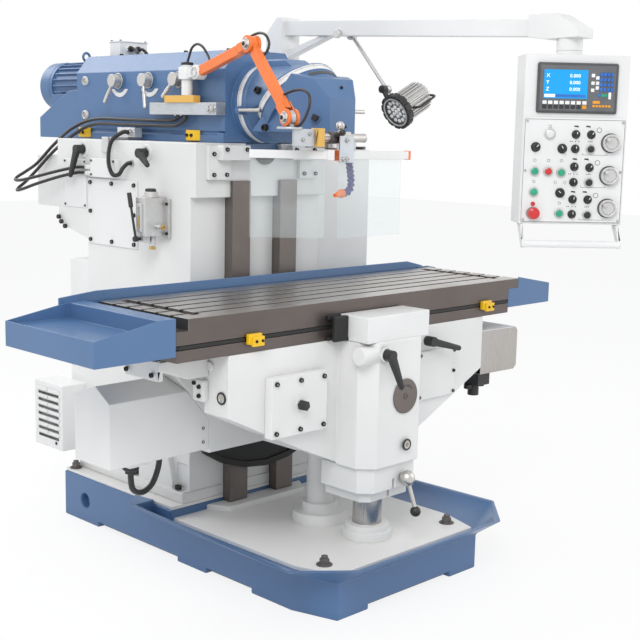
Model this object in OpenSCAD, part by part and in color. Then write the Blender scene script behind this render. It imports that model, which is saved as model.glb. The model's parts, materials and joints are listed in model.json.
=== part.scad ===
// Ram type universal milling machine with separate moving parts
// X runs along the table, Y to the back, Z up, origin on the floor below the base centre
// All sizes are in millimetres

/* [Table] */
// Length of the table
table_l = 1800; // [1500:10:2000]
// Width of the table
table_w = 500; // [440:5:540]
// Height of the table top above the floor at rest
table_top = 1091; // [1060:1:1120]
// Thickness of the table slab
slab_t = 40; // [30:1:50]
// Width of the table slots
slot_w = 18; // [14:1:22]
// Distance between neighbouring slots
slot_pitch = 80; // [70:1:90]
// Travel of the table to each side
table_travel = 500; // [300:10:560]

/* [Base and column] */
// Length of the base
base_l = 1630; // [1500:10:1800]
// Width of the base at the back
base_w = 890; // [820:10:960]
// Height of the front base wall
base_h = 150; // [130:1:165]
// Height of the back deck of the base
deck_z = 212; // [205:1:230]
// Margin between the side of the column and the edge of the base
col_margin = 95; // [85:1:115]
// Height of the column top above the floor
col_top = 1641; // [1600:1:1680]
// Width of each column way
way_w = 94; // [80:1:100]

/* [Ram and head] */
// Half width of the ram
ram_hw = 190; // [170:1:200]
// Height of the ram body
ram_h = 362; // [340:1:380]
// Forward travel of the ram
ram_travel = 400; // [200:10:400]
// Radius of the swivel ring at the ram
ring_a_r = 155; // [140:1:158]
// Radius of the inclined swivel ring
ring_b_r = 170; // [160:1:176]
// Radius of the spindle nose
spindle_r = 64; // [50:1:70]

/* [Knee] */
// Half width of the knee across its wings
knee_hw = 695; // [640:5:730]
// Travel of the knee upward
knee_up = 200; // [100:10:200]
// Travel of the knee downward
knee_down = 100; // [60:10:100]
// Radius of the front support post
post_r = 56; // [45:1:62]
// Radius of the elevating screw tube
tube_r = 52; // [44:1:60]

/* [Pendant] */
// Width of the pendant box
pend_w = 366; // [340:2:400]
// Height of the pendant box
pend_h = 586; // [560:2:620]
// Depth of the pendant box
pend_d = 130; // [110:2:150]
// Angle of the pendant at rest
pend_a = -42; // [-60:1:-20]

/* [Fits] */
// Radial clearance of a turning pin in its bore
run_c = 0.05; // [0.02:0.01:0.1]
// Clearance of a slide at its guides
slide_c = 0.1; // [0.05:0.05:0.3]
// Gap between curved faces that pass each other
pass_c = 0.4; // [0.3:0.1:1]

/* [Hidden] */
$fn = 48;
white = [0.9, 0.9, 0.88];
blue = [0.36, 0.5, 0.7];
steel = [0.5, 0.47, 0.45];
black = [0.07, 0.07, 0.08];
zinc = [0.68, 0.69, 0.7];
orange = [0.93, 0.55, 0.12];
yellow = [0.96, 0.76, 0.05];
hose_blue = [0.16, 0.2, 0.55];
red = [0.8, 0.08, 0.06];
glass = [0.75, 0.85, 0.88, 0.35];
// Table
tab_x0 = 33 - table_l / 2;
tab_x1 = 33 + table_l / 2;
tab_y0 = -575;
tab_y1 = tab_y0 + table_w;
slab_z = table_top - slab_t;
body_z = table_top - 142;
// Knee
knee_top = body_z;
knee_y0 = -730;
wing_y0 = tab_y0;
wing_y1 = tab_y1 + 20;
wing_z = knee_top - 218;
wing_low = knee_top - 390;
block_hw = 170;
block_z = 477;
body_bot = 512;
post_y = -585;
tube_y = -326;
clamp_z = 340;
// Base and column
base_y0 = -base_l / 2;
base_y1 = base_l / 2;
base_fw = base_w - 108;
col_hw = base_w / 2 - col_margin;
low_z = base_h + 16;
col_y0 = 62;
col_y1 = 758;
nose_y = 30;
nose_z = 1430;
way_y = 14;
way_x1 = 175;
way_x0 = way_x1 - way_w;
over_y = 986;
keel_w = 110;
keel_h = 40;
// Ram
ram_z0 = col_top;
ram_z1 = ram_z0 + ram_h;
ram_y0 = 50;
ram_y1 = 1072;
ram_y2 = 1382;
ram_axis = 1797;
head_y = 22;
// Inclined ring centre
rb_y = -178;
rb_z = 1805;
sp_y = -300;
sp_bot = 1632;
// Wall of the sheet metal covers
sheet_t = 4;
// Guard arm
ga_x = -230;
ga_y = 234;
ga_a = -8.6;
mast_r = 22;
mast_z = 1943;
kn_u = 91;
kn_z = 1912;
el_u = 465;
el_z = 2003;
wr_u = 716;
wr_z = 1740;
// Half widths of an arm tongue and of the fork slot round it
tongue_w = 11.6;
fork_w = 12;
// Pendant
pp_x = col_hw + 90;
pp_y = 400;
pp_z0 = 1633;
hub_z0 = 2000;
nk_y = -1095;
nk_z = 1975;
// Route points of the hoses and the cable pair
switch_route = [
  [-280.6, 556, 1673], [-312, 556, 1673], [-370, 552, 1636], [-394, 540, 1560], [-396, 512, 1506],
  [-394, 470, 1504], [-390, 444, 1532], [-372, 436, 1550], [-350.3, 436, 1550]
];
coolant_route = [
  [-52, -494, 1614.7], [-52, -494, 1582], [-44, -492, 1556], [-34, -488, 1524], [-32, -486, 1496],
  [-46, -486, 1476], [-80, -486, 1470]
];
cable_route_a = [
  [-215, 296, 1743.5], [-215, 296, 1732], [-219, 312, 1724], [-225, 350, 1724], [-225, 620, 1726],
  [-226, 880, 1726], [-262, 1004, 1684], [-332, 1042, 1612], [-370, 1116, 1530], [-382, 1196, 1486],
  [-402, 1222, 1462], [-428, 1180, 1456], [-424, 1040, 1474], [-392, 900, 1504], [-366, 800, 1522],
  [-363, 775, 1524], [-363, 745.3, 1524]
];
cable_route_b = [
  [-215, 258, 1743.5], [-215, 258, 1726], [-219, 276, 1708], [-225, 320, 1704], [-225, 620, 1705],
  [-226, 880, 1704], [-258, 994, 1658], [-338, 1026, 1588], [-388, 1090, 1502], [-402, 1148, 1450],
  [-422, 1156, 1418], [-446, 1100, 1414], [-438, 1010, 1444], [-402, 892, 1480], [-368, 796, 1499],
  [-363, 775, 1500], [-363, 745.3, 1500]
];

// Plain building blocks

module box(x0, x1, y0, y1, z0, z1) {
  translate([x0, y0, z0]) cube([x1 - x0, y1 - y0, z1 - z0]);
}

module cyl_x(x0, x1, y, z, r) {
  translate([x0, y, z]) rotate([0, 90, 0]) cylinder(r = r, h = x1 - x0);
}

module cyl_y(y0, y1, x, z, r) {
  translate([x, y1, z]) rotate([90, 0, 0]) cylinder(r = r, h = y1 - y0);
}

module cyl_z(z0, z1, x, y, r) {
  translate([x, y, z0]) cylinder(r = r, h = z1 - z0);
}

// Outline in Y and Z drawn along X
module prism_x(x0, x1, pts) {
  translate([x0, 0, 0]) rotate([90, 0, 90]) linear_extrude(x1 - x0) polygon(pts);
}

// Outline in X and Z drawn along Y
module prism_y(y0, y1, pts) {
  translate([0, y1, 0]) rotate([90, 0, 0]) linear_extrude(y1 - y0) polygon(pts);
}

// Outline in X and Y drawn along Z
module prism_z(z0, z1, pts) {
  translate([0, 0, z0]) linear_extrude(z1 - z0) polygon(pts);
}

module mirror_x() {
  children();
  mirror([1, 0, 0]) children();
}

// Rows of bolt heads, on faces that look along -X, -Y and up
module bolts_x(x, pts, r, h) {
  for (p = pts) cyl_x(x - h, x, p[0], p[1], r, $fn = 20);
}

module bolts_y(y, pts, r, h) {
  for (p = pts) cyl_y(y - h, y, p[0], p[1], r, $fn = 20);
}

module bolts_z(z, pts, r, h) {
  for (p = pts) cyl_z(z, z + h, p[0], p[1], r, $fn = 20);
}

// Four corners of a bolt field, in from the edges
function corners(a0, a1, b0, b1, e) = [
  [a0 + e, b0 + e], [a1 - e, b0 + e], [a1 - e, b1 - e], [a0 + e, b1 - e]
];

// Round bar through a row of points
module bar(pts, r) {
  for (i = [0 : len(pts) - 2]) {
    d = pts[i + 1] - pts[i];
    translate(pts[i]) rotate([0, acos(d[2] / norm(d)), atan2(d[1], d[0])])
      cylinder(r = r, h = norm(d), $fn = 24);
  }
}

// Cord swept through hand chosen points
function unit(v) = v / max(norm(v), 0.001);
function side(t, up) = unit(cross(t, up));
function tangent(p, i) = unit(p[min(i + 1, len(p) - 1)] - p[max(i - 1, 0)]);
function ease(a, b, c, d, t) = 0.5 * (2 * b + (c - a) * t + (2 * a - 5 * b + 4 * c - d) * t * t
  + (3 * b - a - 3 * c + d) * t * t * t);
function smooth(p, n) = concat([for (i = [0 : len(p) - 2], k = [0 : n - 1])
  ease(p[max(i - 1, 0)], p[i], p[i + 1], p[min(i + 2, len(p) - 1)], k / n)], [p[len(p) - 1]]);

function ring(c, t, up, r, m) = let (u = side(t, up), v = cross(t, u))
  [for (k = [0 : m - 1]) c + r * (cos(360 * k / m) * u + sin(360 * k / m) * v)];
function rings(p, up, radii, m) = [for (i = [0 : len(p) - 1])
  each ring(p[i], tangent(p, i), up, radii[i], m)];
function skin(n, m, o) = [for (i = [0 : n - 2], k = [0 : m - 1]) let (a = o + i * m, j = (k + 1) % m)
  each [[a + k, a + j, a + m + j], [a + k, a + m + j, a + m + k]]];
function inward(faces) = [for (q = faces) [q[0], q[2], q[1]]];
function rim(m, a, b) = [for (k = [0 : m - 1]) let (j = (k + 1) % m)
  each [[a + k, a + j, b + j], [a + k, b + j, b + k]]];

// Round cord through hand chosen points, up is a direction that the route never takes
module cord(pts, up, r, n) {
  m = 8;
  p = smooth(pts, n);
  last = (len(p) - 1) * m;
  ends = [for (k = [1 : m - 2]) each [[0, k + 1, k], [last, last + k, last + k + 1]]];
  polyhedron(rings(p, up, [for (q = p) r], m), concat(ends, skin(len(p), m, 0)), convexity = 6);
}

// Ribbed hose with its bore, a rib is a wide and a narrow ring
module ribbed(pts, up, r, depth, bore, n) {
  m = 8;
  p = smooth(pts, n);
  o = len(p) * m;
  last = (len(p) - 1) * m;
  outer = rings(p, up, [for (i = [0 : len(p) - 1]) i % 2 == 0 ? r : r - depth], m);
  inner = rings(p, up, [for (q = p) bore], m);
  tube = concat(skin(len(p), m, 0), inward(skin(len(p), m, o)));
  faces = concat(tube, inward(rim(m, 0, o)), rim(m, last, o + last));
  polyhedron(concat(outer, inner), faces, convexity = 8);
}

// Base casting with its flared coolant lip

function wall_pts(e) = [
  [-base_fw / 2 + e, base_y0 + e], [base_fw / 2 - e, base_y0 + e], [base_w / 2 - e, base_y0 + 180],
  [base_w / 2 - e, base_y1 - e], [-base_w / 2 + e, base_y1 - e], [-base_w / 2 + e, base_y0 + 180]
];
lip_y1 = 186;
function lip_low(e) = [
  [-base_fw / 2 + e, base_y0 + e], [base_fw / 2 - e, base_y0 + e], [base_w / 2 - e, base_y0 + 180],
  [base_w / 2 - e, lip_y1 - e], [-base_w / 2 + e, lip_y1 - e], [-base_w / 2 + e, base_y0 + 180]
];
function lip_high(e) = [
  [-402 + e, base_y0 - 105 + e], [402 - e, base_y0 - 105 + e], [base_w / 2 + 143 - e, base_y0 + 67],
  [base_w / 2 + 105 - e, lip_y1 - e], [-base_w / 2 - 105 + e, lip_y1 - e],
  [-base_w / 2 - 143 + e, base_y0 + 67]
];
// Width of the base top that is free beside the column foot
foot_w = 36;
rear_strip = col_margin - foot_w;
anchor_pts = [
  [-base_w / 2 + 100, base_y0 + 115], [base_w / 2 - 100, base_y0 + 115],
  [-base_w / 2 + rear_strip / 2, base_y1 - 45], [base_w / 2 - rear_strip / 2, base_y1 - 45]
];

module base_casting() {
  color(blue) difference() {
    union() {
      prism_z(0, base_h, wall_pts(0));
      hull() {
        prism_z(base_h - 12, base_h - 10, lip_low(0));
        prism_z(base_h + 64, base_h + 66, lip_high(0));
      }
      intersection() {
        prism_z(base_h - 20, deck_z - 14, wall_pts(0));
        box(-600, 600, col_y0 - 2, 1000, 0, 400);
      }
    }
    difference() {
      hull() {
        prism_z(base_h, base_h + 2, lip_low(14));
        prism_z(base_h + 66, base_h + 68, lip_high(14));
      }
      box(-base_w / 2, base_w / 2, col_y0 - 2, 400, 0, deck_z - 14);
    }
    box(-base_w / 2, base_w / 2, col_y0 - 2, 400, deck_z - 14, 400);
    mirror_x() {
      box(45, base_w / 2 - 110, base_y0 + 175, -45, -1, base_h - 35);
      box(45, base_w / 2 - 110, 45, base_y1 - 120, -1, base_h - 35);
    }
    for (s = [-1, 1]) {
      box(s * base_w / 2 - 30, s * base_w / 2 + 30, -420, -160, -1, 22);
      box(s * base_w / 2 - 30, s * base_w / 2 + 30, 20, 560, -1, 22);
    }
    box(-230, 230, base_y0 - 30, base_y0 + 30, -1, 22);
    box(-250, 250, base_y1 - 30, base_y1 + 30, -1, 22);
    cyl_x(-base_w / 2 - 5, -base_w / 2 + 40, 660, 95, 32);
    for (p = anchor_pts) cyl_z(-1, 400, p[0], p[1], 14);
  }
}

module base_deck() {
  color(white) difference() {
    union() {
      difference() {
        prism_z(base_h, low_z, lip_low(14));
        box(-600, 600, col_y0 - 2, 400, 0, 400);
      }
      intersection() {
        prism_z(deck_z - 14, deck_z, wall_pts(6));
        box(-600, 600, col_y0 - 2, 1000, 0, 400);
      }
    }
    for (p = anchor_pts) cyl_z(-1, 400, p[0], p[1], 14);
    cyl_z(0, 400, 0, post_y, post_r + 34);
    cyl_z(0, 400, 0, tube_y, tube_r + 56);
    prism_z(0, 400, toe_pts);
  }
}

module anchor_bolts() {
  color(steel) for (i = [0 : 3]) {
    p = anchor_pts[i];
    z = i < 2 ? low_z : deck_z;
    cyl_z(2, z + 34, p[0], p[1], 12, $fn = 24);
    cyl_z(z, z + 5, p[0], p[1], i < 2 ? 26 : rear_strip / 2 - 3, $fn = 32);
    cyl_z(z + 5, z + 23, p[0], p[1], 19, $fn = 6);
  }
}

module support_post() {
  color(steel) cyl_z(low_z + 56, 700, 0, post_y, post_r);
  color(white) {
    cyl_z(base_h, low_z, 0, post_y, post_r + 34);
    cyl_z(low_z, low_z + 32, 0, post_y, post_r + 40);
    cyl_z(low_z + 32, low_z + 56, 0, post_y, post_r + 28);
  }
}

module screw_tube() {
  color(white) {
    cyl_z(base_h, low_z + 44, 0, tube_y, tube_r + 56);
    cyl_z(low_z + 44, low_z + 80, 0, tube_y, tube_r + 20);
    cyl_z(low_z + 80, 740, 0, tube_y, tube_r);
  }
}

// Column with the ram guide on top

col_side = [
  [col_y0, deck_z], [col_y1, deck_z], [col_y1, 1219], [over_y - 4, 1273], [over_y, col_top],
  [nose_y, col_top], [nose_y, nose_z], [col_y0, nose_z]
];
foot_pts = [
  [-col_hw - foot_w, col_y0 - 2], [col_hw + foot_w, col_y0 - 2], [col_hw + foot_w, col_y1 + 30],
  [-col_hw - foot_w, col_y1 + 30]
];
toe_pts = [[-262, col_y0 - 2], [-208, way_y - 44], [208, way_y - 44], [262, col_y0 - 2]];
function keel(e) = [
  [-keel_w - e, ram_z0 - keel_h - e], [keel_w + e, ram_z0 - keel_h - e],
  [keel_w - 18 + e, ram_z0 + 1], [-keel_w + 18 - e, ram_z0 + 1]
];
clamp_rear = [782, 1598];
clamp_front = [340, 1594];

module column() {
  color(white) difference() {
    union() {
      prism_x(-col_hw, col_hw, col_side);
      prism_z(deck_z, deck_z + 44, foot_pts);
      prism_z(base_h, deck_z - 26, toe_pts);
      prism_x(-col_hw - 24, -col_hw, [[120, deck_z], [700, deck_z], [640, 420], [180, 420]]);
    }
    box(-col_hw + 45, col_hw - 45, col_y0 + 50, col_y1 - 45, deck_z - 1, ram_z0 - keel_h - 45);
    cyl_y(col_y1 - 60, col_y1 + 1, -200, 640, 30);
    prism_y(nose_y - 1, over_y + 1, keel(slide_c));
    for (s = [-1, 1], y = [110, 400, 690])
      box(s * (col_hw + 18) - 20, s * (col_hw + 18) + 24, y - 32, y + 32, deck_z + 44, deck_z + 150);
    for (p = [clamp_rear, clamp_front]) cyl_x(-col_hw - 1, -col_hw + 60, p[0], p[1], 11 + run_c);
  }
}

module column_ways() {
  color(steel) mirror_x() {
    box(way_x0, way_x1, way_y, col_y0 - 2, deck_z - 26, nose_z);
    box(way_x0, way_x1, col_y0 - 3, col_y0, deck_z + 44, nose_z);
    box(way_x0, way_x1, way_y, nose_y, nose_z, 1495);
  }
}

module screw_cap() {
  z = ram_z0 - keel_h - 3;
  color(black) intersection() {
    union() {
      cyl_y(nose_y - 18, nose_y, 0, z + 12, 52);
      cyl_y(nose_y - 24, nose_y - 18, 0, z + 12, 30);
    }
    box(-60, 60, nose_y - 30, nose_y, z - 60, z);
  }
}

module column_covers() {
  x = -col_hw;
  color(white) {
    box(x - 6, x, 397, 742, 1203, 1480);
    bolts_x(x - 6, corners(397, 742, 1203, 1480, 18), 8, 5);
    bolts_x(x - 6, [[570, 1221], [570, 1462], [415, 1341], [724, 1341]], 8, 5);
    box(x - 4, x, 760, 930, 1350, 1556);
    bolts_x(x - 4, corners(760, 930, 1350, 1556, 10), 4, 3);
    box(x - 26, x, 520, 699, 1486, 1564);
    bolts_x(x - 26, corners(520, 699, 1486, 1564, 10), 4, 3);
    mirror_x() box(187, 300, nose_y - 18, nose_y, 1500, 1632);
    mirror_x() box(keel_w + 4, 256, nose_y - 50, nose_y - 18, 1576, col_top - 7);
    for (s = [-1, 1]) {
      bolts_y(nose_y - 50, [[s * 236, 1618], [s * 134, 1618]], 7, 4);
      bolts_y(nose_y - 18, [[s * 210, 1520], [s * 275, 1520], [s * 275, 1600]], 7, 5);
    }
    for (z = [1500, 1524]) cyl_y(699, 745, x - 13, z, 11);
  }
}

module rear_boxes() {
  t = sheet_t;
  c0 = -col_hw + 6;
  color(white) {
    difference() {
      box(-col_hw + 10, -100, over_y, over_y + 180, 1342, 1566);
      box(-col_hw + 10 + t, -100 - t, over_y - 1, over_y + 180 - t, 1342 + t, 1566 - t);
    }
    difference() {
      box(c0, -c0, col_y1, col_y1 + 148, deck_z + 44, 1122);
      box(c0 + t, -c0 - t, col_y1 - 1, col_y1 + 148 - t, deck_z + 44 + t, 1122 - t);
    }
    difference() {
      box(-470, c0, 790, 1010, 290, 580);
      box(-470 + t, c0 - t, 790 + t, 1010 - t, 290 + t, 580 - t);
      for (i = [0 : 6]) box(-476, -470 + 2 * t, 820, 980, 330 + 32 * i, 342 + 32 * i);
    }
    for (p = [[970, 1300], [950, 1280], [920, 1262]]) cyl_x(-col_hw - 16, -col_hw, p[0], p[1], 10);
  }
}

module electric_cabinet() {
  x0 = col_hw + 2;
  x1 = col_hw + 362;
  color(white) {
    difference() {
      box(col_hw, x1, 130, 720, 330, pp_z0);
      box(col_hw + sheet_t, x1 - sheet_t, 129, 720 - sheet_t, 330 + sheet_t, pp_z0 - sheet_t);
      for (i = [0 : 5]) box(x1 - 6, x1 + 1, 320, 560, 420 + 34 * i, 432 + 34 * i);
    }
    box(x0 + 12, x1 + 4, 112, 128, 350, pp_z0 - 16);
    for (z = [520, 980, 1440]) cyl_z(z - 35, z + 35, x1 + 4, 126, 8);
    box(x0 + 34, x0 + 52, 100, 112, 1010, 1090);
  }
}

apron_arc = [[-330, 424], [-236, 368], [-122, 330], [0, 316], [122, 330], [236, 368], [330, 424]];
module way_apron() {
  y0 = way_y - 12;
  color(black) {
    prism_y(y0, y0 + 5, concat(apron_arc, [[330, body_bot], [-330, body_bot]]));
    prism_y(y0 - 14, y0 + 8, concat(apron_arc, [for (i = [6 : -1 : 0]) apron_arc[i] + [0, 26]]));
    box(-slide_x + 20, slide_x - 20, y0 - 14, y0 + 5, body_bot - 26, body_bot);
  }
}

// Lubrication pump on the left of the column

lube_y = 233;
pump_p = [lube_y + 9, 1264];
module lube_pump() {
  x = -col_hw;
  color(zinc) difference() {
    union() {
      box(x - 110, x - 8, lube_y - 30, lube_y + 30, 1275, 1426);
      box(x - 14, x, lube_y - 54, lube_y + 60, 1262, 1420);
      cyl_z(1426, 1434, x - 60, lube_y, 30);
      cyl_z(1434, 1448, x - 60, lube_y, 26);
      cyl_z(1238, 1276, x - 52, lube_y, 13);
      cyl_y(lube_y - 52, lube_y - 29, x - 52, 1312, 9);
      cyl_y(lube_y - 64, lube_y - 52, x - 52, 1312, 6);
      box(x - 106, x - 74, lube_y - 14, lube_y + 26, 1250, 1276);
      box(x - 116, x - 109, lube_y - 14, lube_y + 22, 1292, 1402);
    }
    cyl_x(x - 120, x - 60, pump_p[0], pump_p[1], 6 + run_c);
    box(x - 117, x - 112, lube_y - 4, lube_y + 12, 1304, 1390);
    for (z = [1284, 1400]) cyl_x(x - 15, x + 1, lube_y - 44, z, 5);
  }
}

module lube_handle() {
  x = -col_hw - 129;
  color(black) {
    cyl_x(x, x + 62, pump_p[0], pump_p[1], 6);
    cyl_x(x - 6, x + 12, pump_p[0], pump_p[1], 11);
    bar([[x + 3, pump_p[0], pump_p[1]], [x + 3, pump_p[0] + 32, pump_p[1] + 130]], 5);
    bar([[x + 3, pump_p[0] + 30, pump_p[1] + 122], [x + 3, pump_p[0] + 43, pump_p[1] + 178]], 9);
  }
}

// Clamp levers of the ram guide
module clamp_lever_x(p, tip) {
  x = -col_hw;
  cyl_x(x - 42, x + 40, p[0], p[1], 11);
  cyl_x(x - 46, x - 6, p[0], p[1], 19);
  hull() {
    cyl_x(x - 44, x - 26, p[0], p[1], 15, $fn = 32);
    translate([x - 52, tip[0], tip[1]]) sphere(r = 10, $fn = 32);
  }
}

module ram_clamp_rear() {
  color(black) clamp_lever_x(clamp_rear, [806, 1488]);
}

module ram_clamp_front() {
  color(black) clamp_lever_x(clamp_front, [266, 1550]);
}

// Limit switch beside the ram and its ribbed hose

module limit_switch() {
  x = -col_hw;
  color(zinc) {
    box(x, -ram_hw - 34, 584, 640, col_top, col_top + 12);
    box(-ram_hw - 74, -ram_hw - 34, 540, 660, col_top + 12, col_top + 52);
    box(x - 12, x, 590, 634, 1590, col_top + 12);
    cyl_x(-ram_hw - 90, -ram_hw - 74, 556, col_top + 32, 13);
  }
}

module switch_hose() {
  color(black) ribbed(switch_route, [1, 1, 1], 9, 2.5, 5, 7);
}

// Ram with its motor, dials, dogs and levers

lever_pts = [[742, 1889], [530, 1889], [325, 1889]];
ram_sec = [
  [-ram_hw, ram_z0 + 46], [-ram_hw + 8, ram_z0 + 40], [-ram_hw + 8, ram_z0 + 34],
  [-ram_hw, ram_z0 + 28], [-ram_hw, ram_z0], [ram_hw, ram_z0], [ram_hw, ram_z0 + 28],
  [ram_hw - 8, ram_z0 + 34], [ram_hw - 8, ram_z0 + 40], [ram_hw, ram_z0 + 46],
  [ram_hw, ram_z1 - 75], [ram_hw - 60, ram_z1], [-ram_hw + 60, ram_z1], [-ram_hw, ram_z1 - 75]
];
ram_rear = [
  [ram_y1 - 1, ram_z0], [ram_y2, ram_z0], [ram_y2, 1732], [1146, 1850], [ram_y1 - 1, 1856]
];
module ram() {
  color(blue) difference() {
    union() {
      prism_y(ram_y0, ram_y1, ram_sec);
      prism_y(ram_y0 + 2, ram_y2 - 20, keel(0));
      prism_x(-ram_hw, -ram_hw + 22, ram_rear);
      prism_x(ram_hw - 22, ram_hw, ram_rear);
      box(-ram_hw, ram_hw, ram_y1 - 1, ram_y2, ram_z0, ram_z0 + 60);
      cyl_y(head_y, ram_y0 + 1, 0, ram_axis, ring_a_r);
      for (p = lever_pts) cyl_x(-ram_hw - 10, -ram_hw + 1, p[0], p[1], 29);
      box(-ram_hw - 6, -ram_hw + 1, 50, 90, ram_z0, ram_z0 + 40);
    }
    for (p = lever_pts) cyl_x(-ram_hw - 12, -ram_hw + 50, p[0], p[1], 10 + run_c);
    cyl_y(head_y - 1, head_y + 45, 0, ram_axis, 60 + run_c);
    cyl_y(130, ram_y1 + 1, 0, ram_axis + 60, 112);
  }
}

module ram_motor() {
  y0 = ram_y1;
  z = 1879;
  color(blue) {
    cyl_y(y0, y0 + 26, 0, z, 122);
    cyl_y(y0 + 26, y0 + 330, 0, z, 100);
    for (a = [0 : 15 : 345])
      translate([0, 0, z]) rotate([0, a, 0]) box(-3, 3, y0 + 40, y0 + 318, 96, 113);
    cyl_y(y0 + 330, y0 + 352, 0, z, 112);
    difference() {
      cyl_y(y0 + 352, y0 + 428, 0, z, 113);
      for (r = [30, 52, 74, 96])
        difference() {
          cyl_y(y0 + 420, y0 + 429, 0, z, r + 5);
          cyl_y(y0 + 419, y0 + 430, 0, z, r - 5);
        }
    }
    cyl_z(z + 90, z + 122, 0, y0 + 203, 12);
    translate([0, y0 + 203, z + 136]) rotate([90, 0, 0]) rotate_extrude($fn = 40)
      translate([18, 0]) circle(r = 6, $fn = 16);
    for (s = [-1, 1]) box(s * 120 - 25, s * 120 + 25, y0 + 90, y0 + 280, ram_z0 + 60, z - 40);
    box(-100, 100, y0 + 90, y0 + 280, z - 106, z - 86);
  }
}

module ram_trim() {
  x = -ram_hw;
  color(white) {
    for (p = [lever_pts[0], lever_pts[1]]) difference() {
      cyl_x(x - 3, x, p[0], p[1], 68);
      cyl_x(x - 4, x + 1, p[0], p[1], 50);
      box(x - 4, x + 1, p[0] - 80, p[0] + 80, p[1] - 34, p[1] + 80);
    }
    for (p = [[998, 1893], [1000, 1745]]) difference() {
      cyl_x(x - 9, x, p[0], p[1], 20);
      cyl_x(x - 10, x - 3, p[0], p[1], 12);
    }
    box(-74, 74, 903, 979, ram_z1, ram_z1 + 64);
    box(-78, 78, 899, 983, ram_z1 + 64, ram_z1 + 69);
    cyl_y(888, 903, -30, ram_z1 + 34, 13);
    cyl_y(888, 903, 10, ram_z1 + 34, 13);
  }
}

module ram_dogs() {
  x = -ram_hw;
  color(yellow) for (y = [963, 198]) {
    prism_z(ram_z0 + 6, ram_z0 + 48, [[x, y], [x, y + 86], [x - 22, y + 66], [x - 22, y + 20]]);
    box(x - 2, x + 6, y + 10, y + 76, ram_z0 + 35, ram_z0 + 39);
  }
}

module speed_lever(p, a, l) {
  translate([-ram_hw - 10, p[0], p[1]]) rotate([a, 0, 0]) {
    cyl_x(-36, 45, 0, 0, 10);
    cyl_x(-38, 0, 0, 0, 27);
    bar([[-26, 0, 0], [-44, 0, -l]], 6);
    bar([[-34, 0, -l / 2], [-44, 0, -l]], 8);
    translate([-44, 0, -l]) sphere(r = 8, $fn = 32);
  }
}

module speed_lever_a() {
  color(zinc) speed_lever(lever_pts[0], 22, 95);
}

module speed_lever_b() {
  color(zinc) speed_lever(lever_pts[1], -19, 116);
}

module speed_lever_c() {
  color(zinc) speed_lever(lever_pts[2], 35, 83);
}

// Swivel head, turning on the ram and on its inclined face

module half_space(front) {
  translate([0, rb_y, rb_z]) rotate([45, 0, 0])
    translate([-500, front ? -1000 : 0, -800]) cube([1000, 1000, 1600]);
}

module head_swivel() {
  color(blue) difference() {
    union() {
      intersection() {
        union() {
          cyl_y(-26, head_y, 0, ram_axis, ring_a_r);
          prism_y(-420, -26, [
            [-150, 1690], [-110, 1655], [110, 1655], [150, 1690], [150, 1900], [98, 1966],
            [-98, 1966], [-150, 1900]
          ]);
        }
        half_space(false);
      }
      translate([0, rb_y, rb_z]) rotate([45, 0, 0]) cyl_y(0, 60, 0, 0, ring_b_r);
      cyl_y(head_y, head_y + 44, 0, ram_axis, 60);
    }
    translate([0, rb_y, rb_z]) rotate([45, 0, 0]) cyl_y(-1, 46, 0, 0, 70 + run_c);
    box(-500, 500, head_y, 400, 1000, ram_axis - 70);
    box(-500, 500, head_y + 44, 400, 1000, 2500);
  }
}

module spindle_head() {
  color(blue) difference() {
    union() {
      intersection() {
        prism_z(sp_bot + 56, 1960, [
          [-150, -40], [150, -40], [150, -290], [70, sp_y - 104], [-70, sp_y - 104], [-150, -290]
        ]);
        prism_x(-200, 200, [
          [-20, sp_bot], [sp_y - 104, sp_bot], [sp_y - 104, 1818], [sp_y - 56, 1890], [-190, 1922],
          [-20, 1950]
        ]);
        half_space(true);
        translate([0, rb_y, rb_z]) rotate([45, 0, 0]) cyl_y(-460, 0, 0, 0, 216);
      }
      translate([0, rb_y, rb_z]) rotate([45, 0, 0]) cyl_y(-46, 0, 0, 0, ring_b_r);
      translate([0, rb_y, rb_z]) rotate([45, 0, 0]) cyl_y(-10, 45, 0, 0, 70);
      cyl_z(sp_bot + 26, sp_bot + 70, 0, sp_y, 92);
    }
    cyl_z(sp_bot - 1, 1860, 0, sp_y, spindle_r - 14 + run_c);
  }
}

module vertical_spindle() {
  color(steel) difference() {
    union() {
      cyl_z(sp_bot, sp_bot + 26 - pass_c, 0, sp_y, spindle_r);
      cyl_z(sp_bot + 20, 1850, 0, sp_y, spindle_r - 14);
    }
    translate([0, sp_y, sp_bot - 1]) cylinder(r1 = 35, r2 = 20, h = 104);
    cyl_z(sp_bot - 1, 1840, 0, sp_y, 13);
    for (s = [-1, 1]) box(s * 46 - 20, s * 46 + 20, sp_y - 12.7, sp_y + 12.7, sp_bot - 1, sp_bot + 12);
  }
}

// Guard arm on the ram

module guard_bracket() {
  color(zinc) difference() {
    box(-ram_hw - 50, -ram_hw, 44, 468, 1748, 1796);
    box(-ram_hw - 46, -ram_hw - 4, 120, 469, 1752, 1792);
  }
  color(zinc) for (y = [60, 84]) cyl_x(-ram_hw - 58, -ram_hw - 50, y, 1772, 10, $fn = 20);
  color(yellow) box(ga_x - 20, ga_x + 16, ga_y - 64, ga_y + 122, 1796, 1824);
  color(white) cyl_z(1824, mast_z, ga_x, ga_y, mast_r);
}

// Points along the guard arm plane, u forward from the post and w to its side
module arm_plane() {
  translate([ga_x, ga_y, 0]) rotate([0, 0, ga_a - 90]) children();
}

// Square arm from a to b with a fork of two round ears at b
module arm_link(a, b, l) {
  translate([a[0], 0, a[1]]) rotate([0, atan2(a[1] - b[1], b[0] - a[0]), 0]) {
    box(20, l - 20, -14, 14, -19, 19);
    box(l - 66, l, -24, 24, -17, 17);
    cyl_y(-24, 24, l, 0, 31);
  }
}

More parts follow.
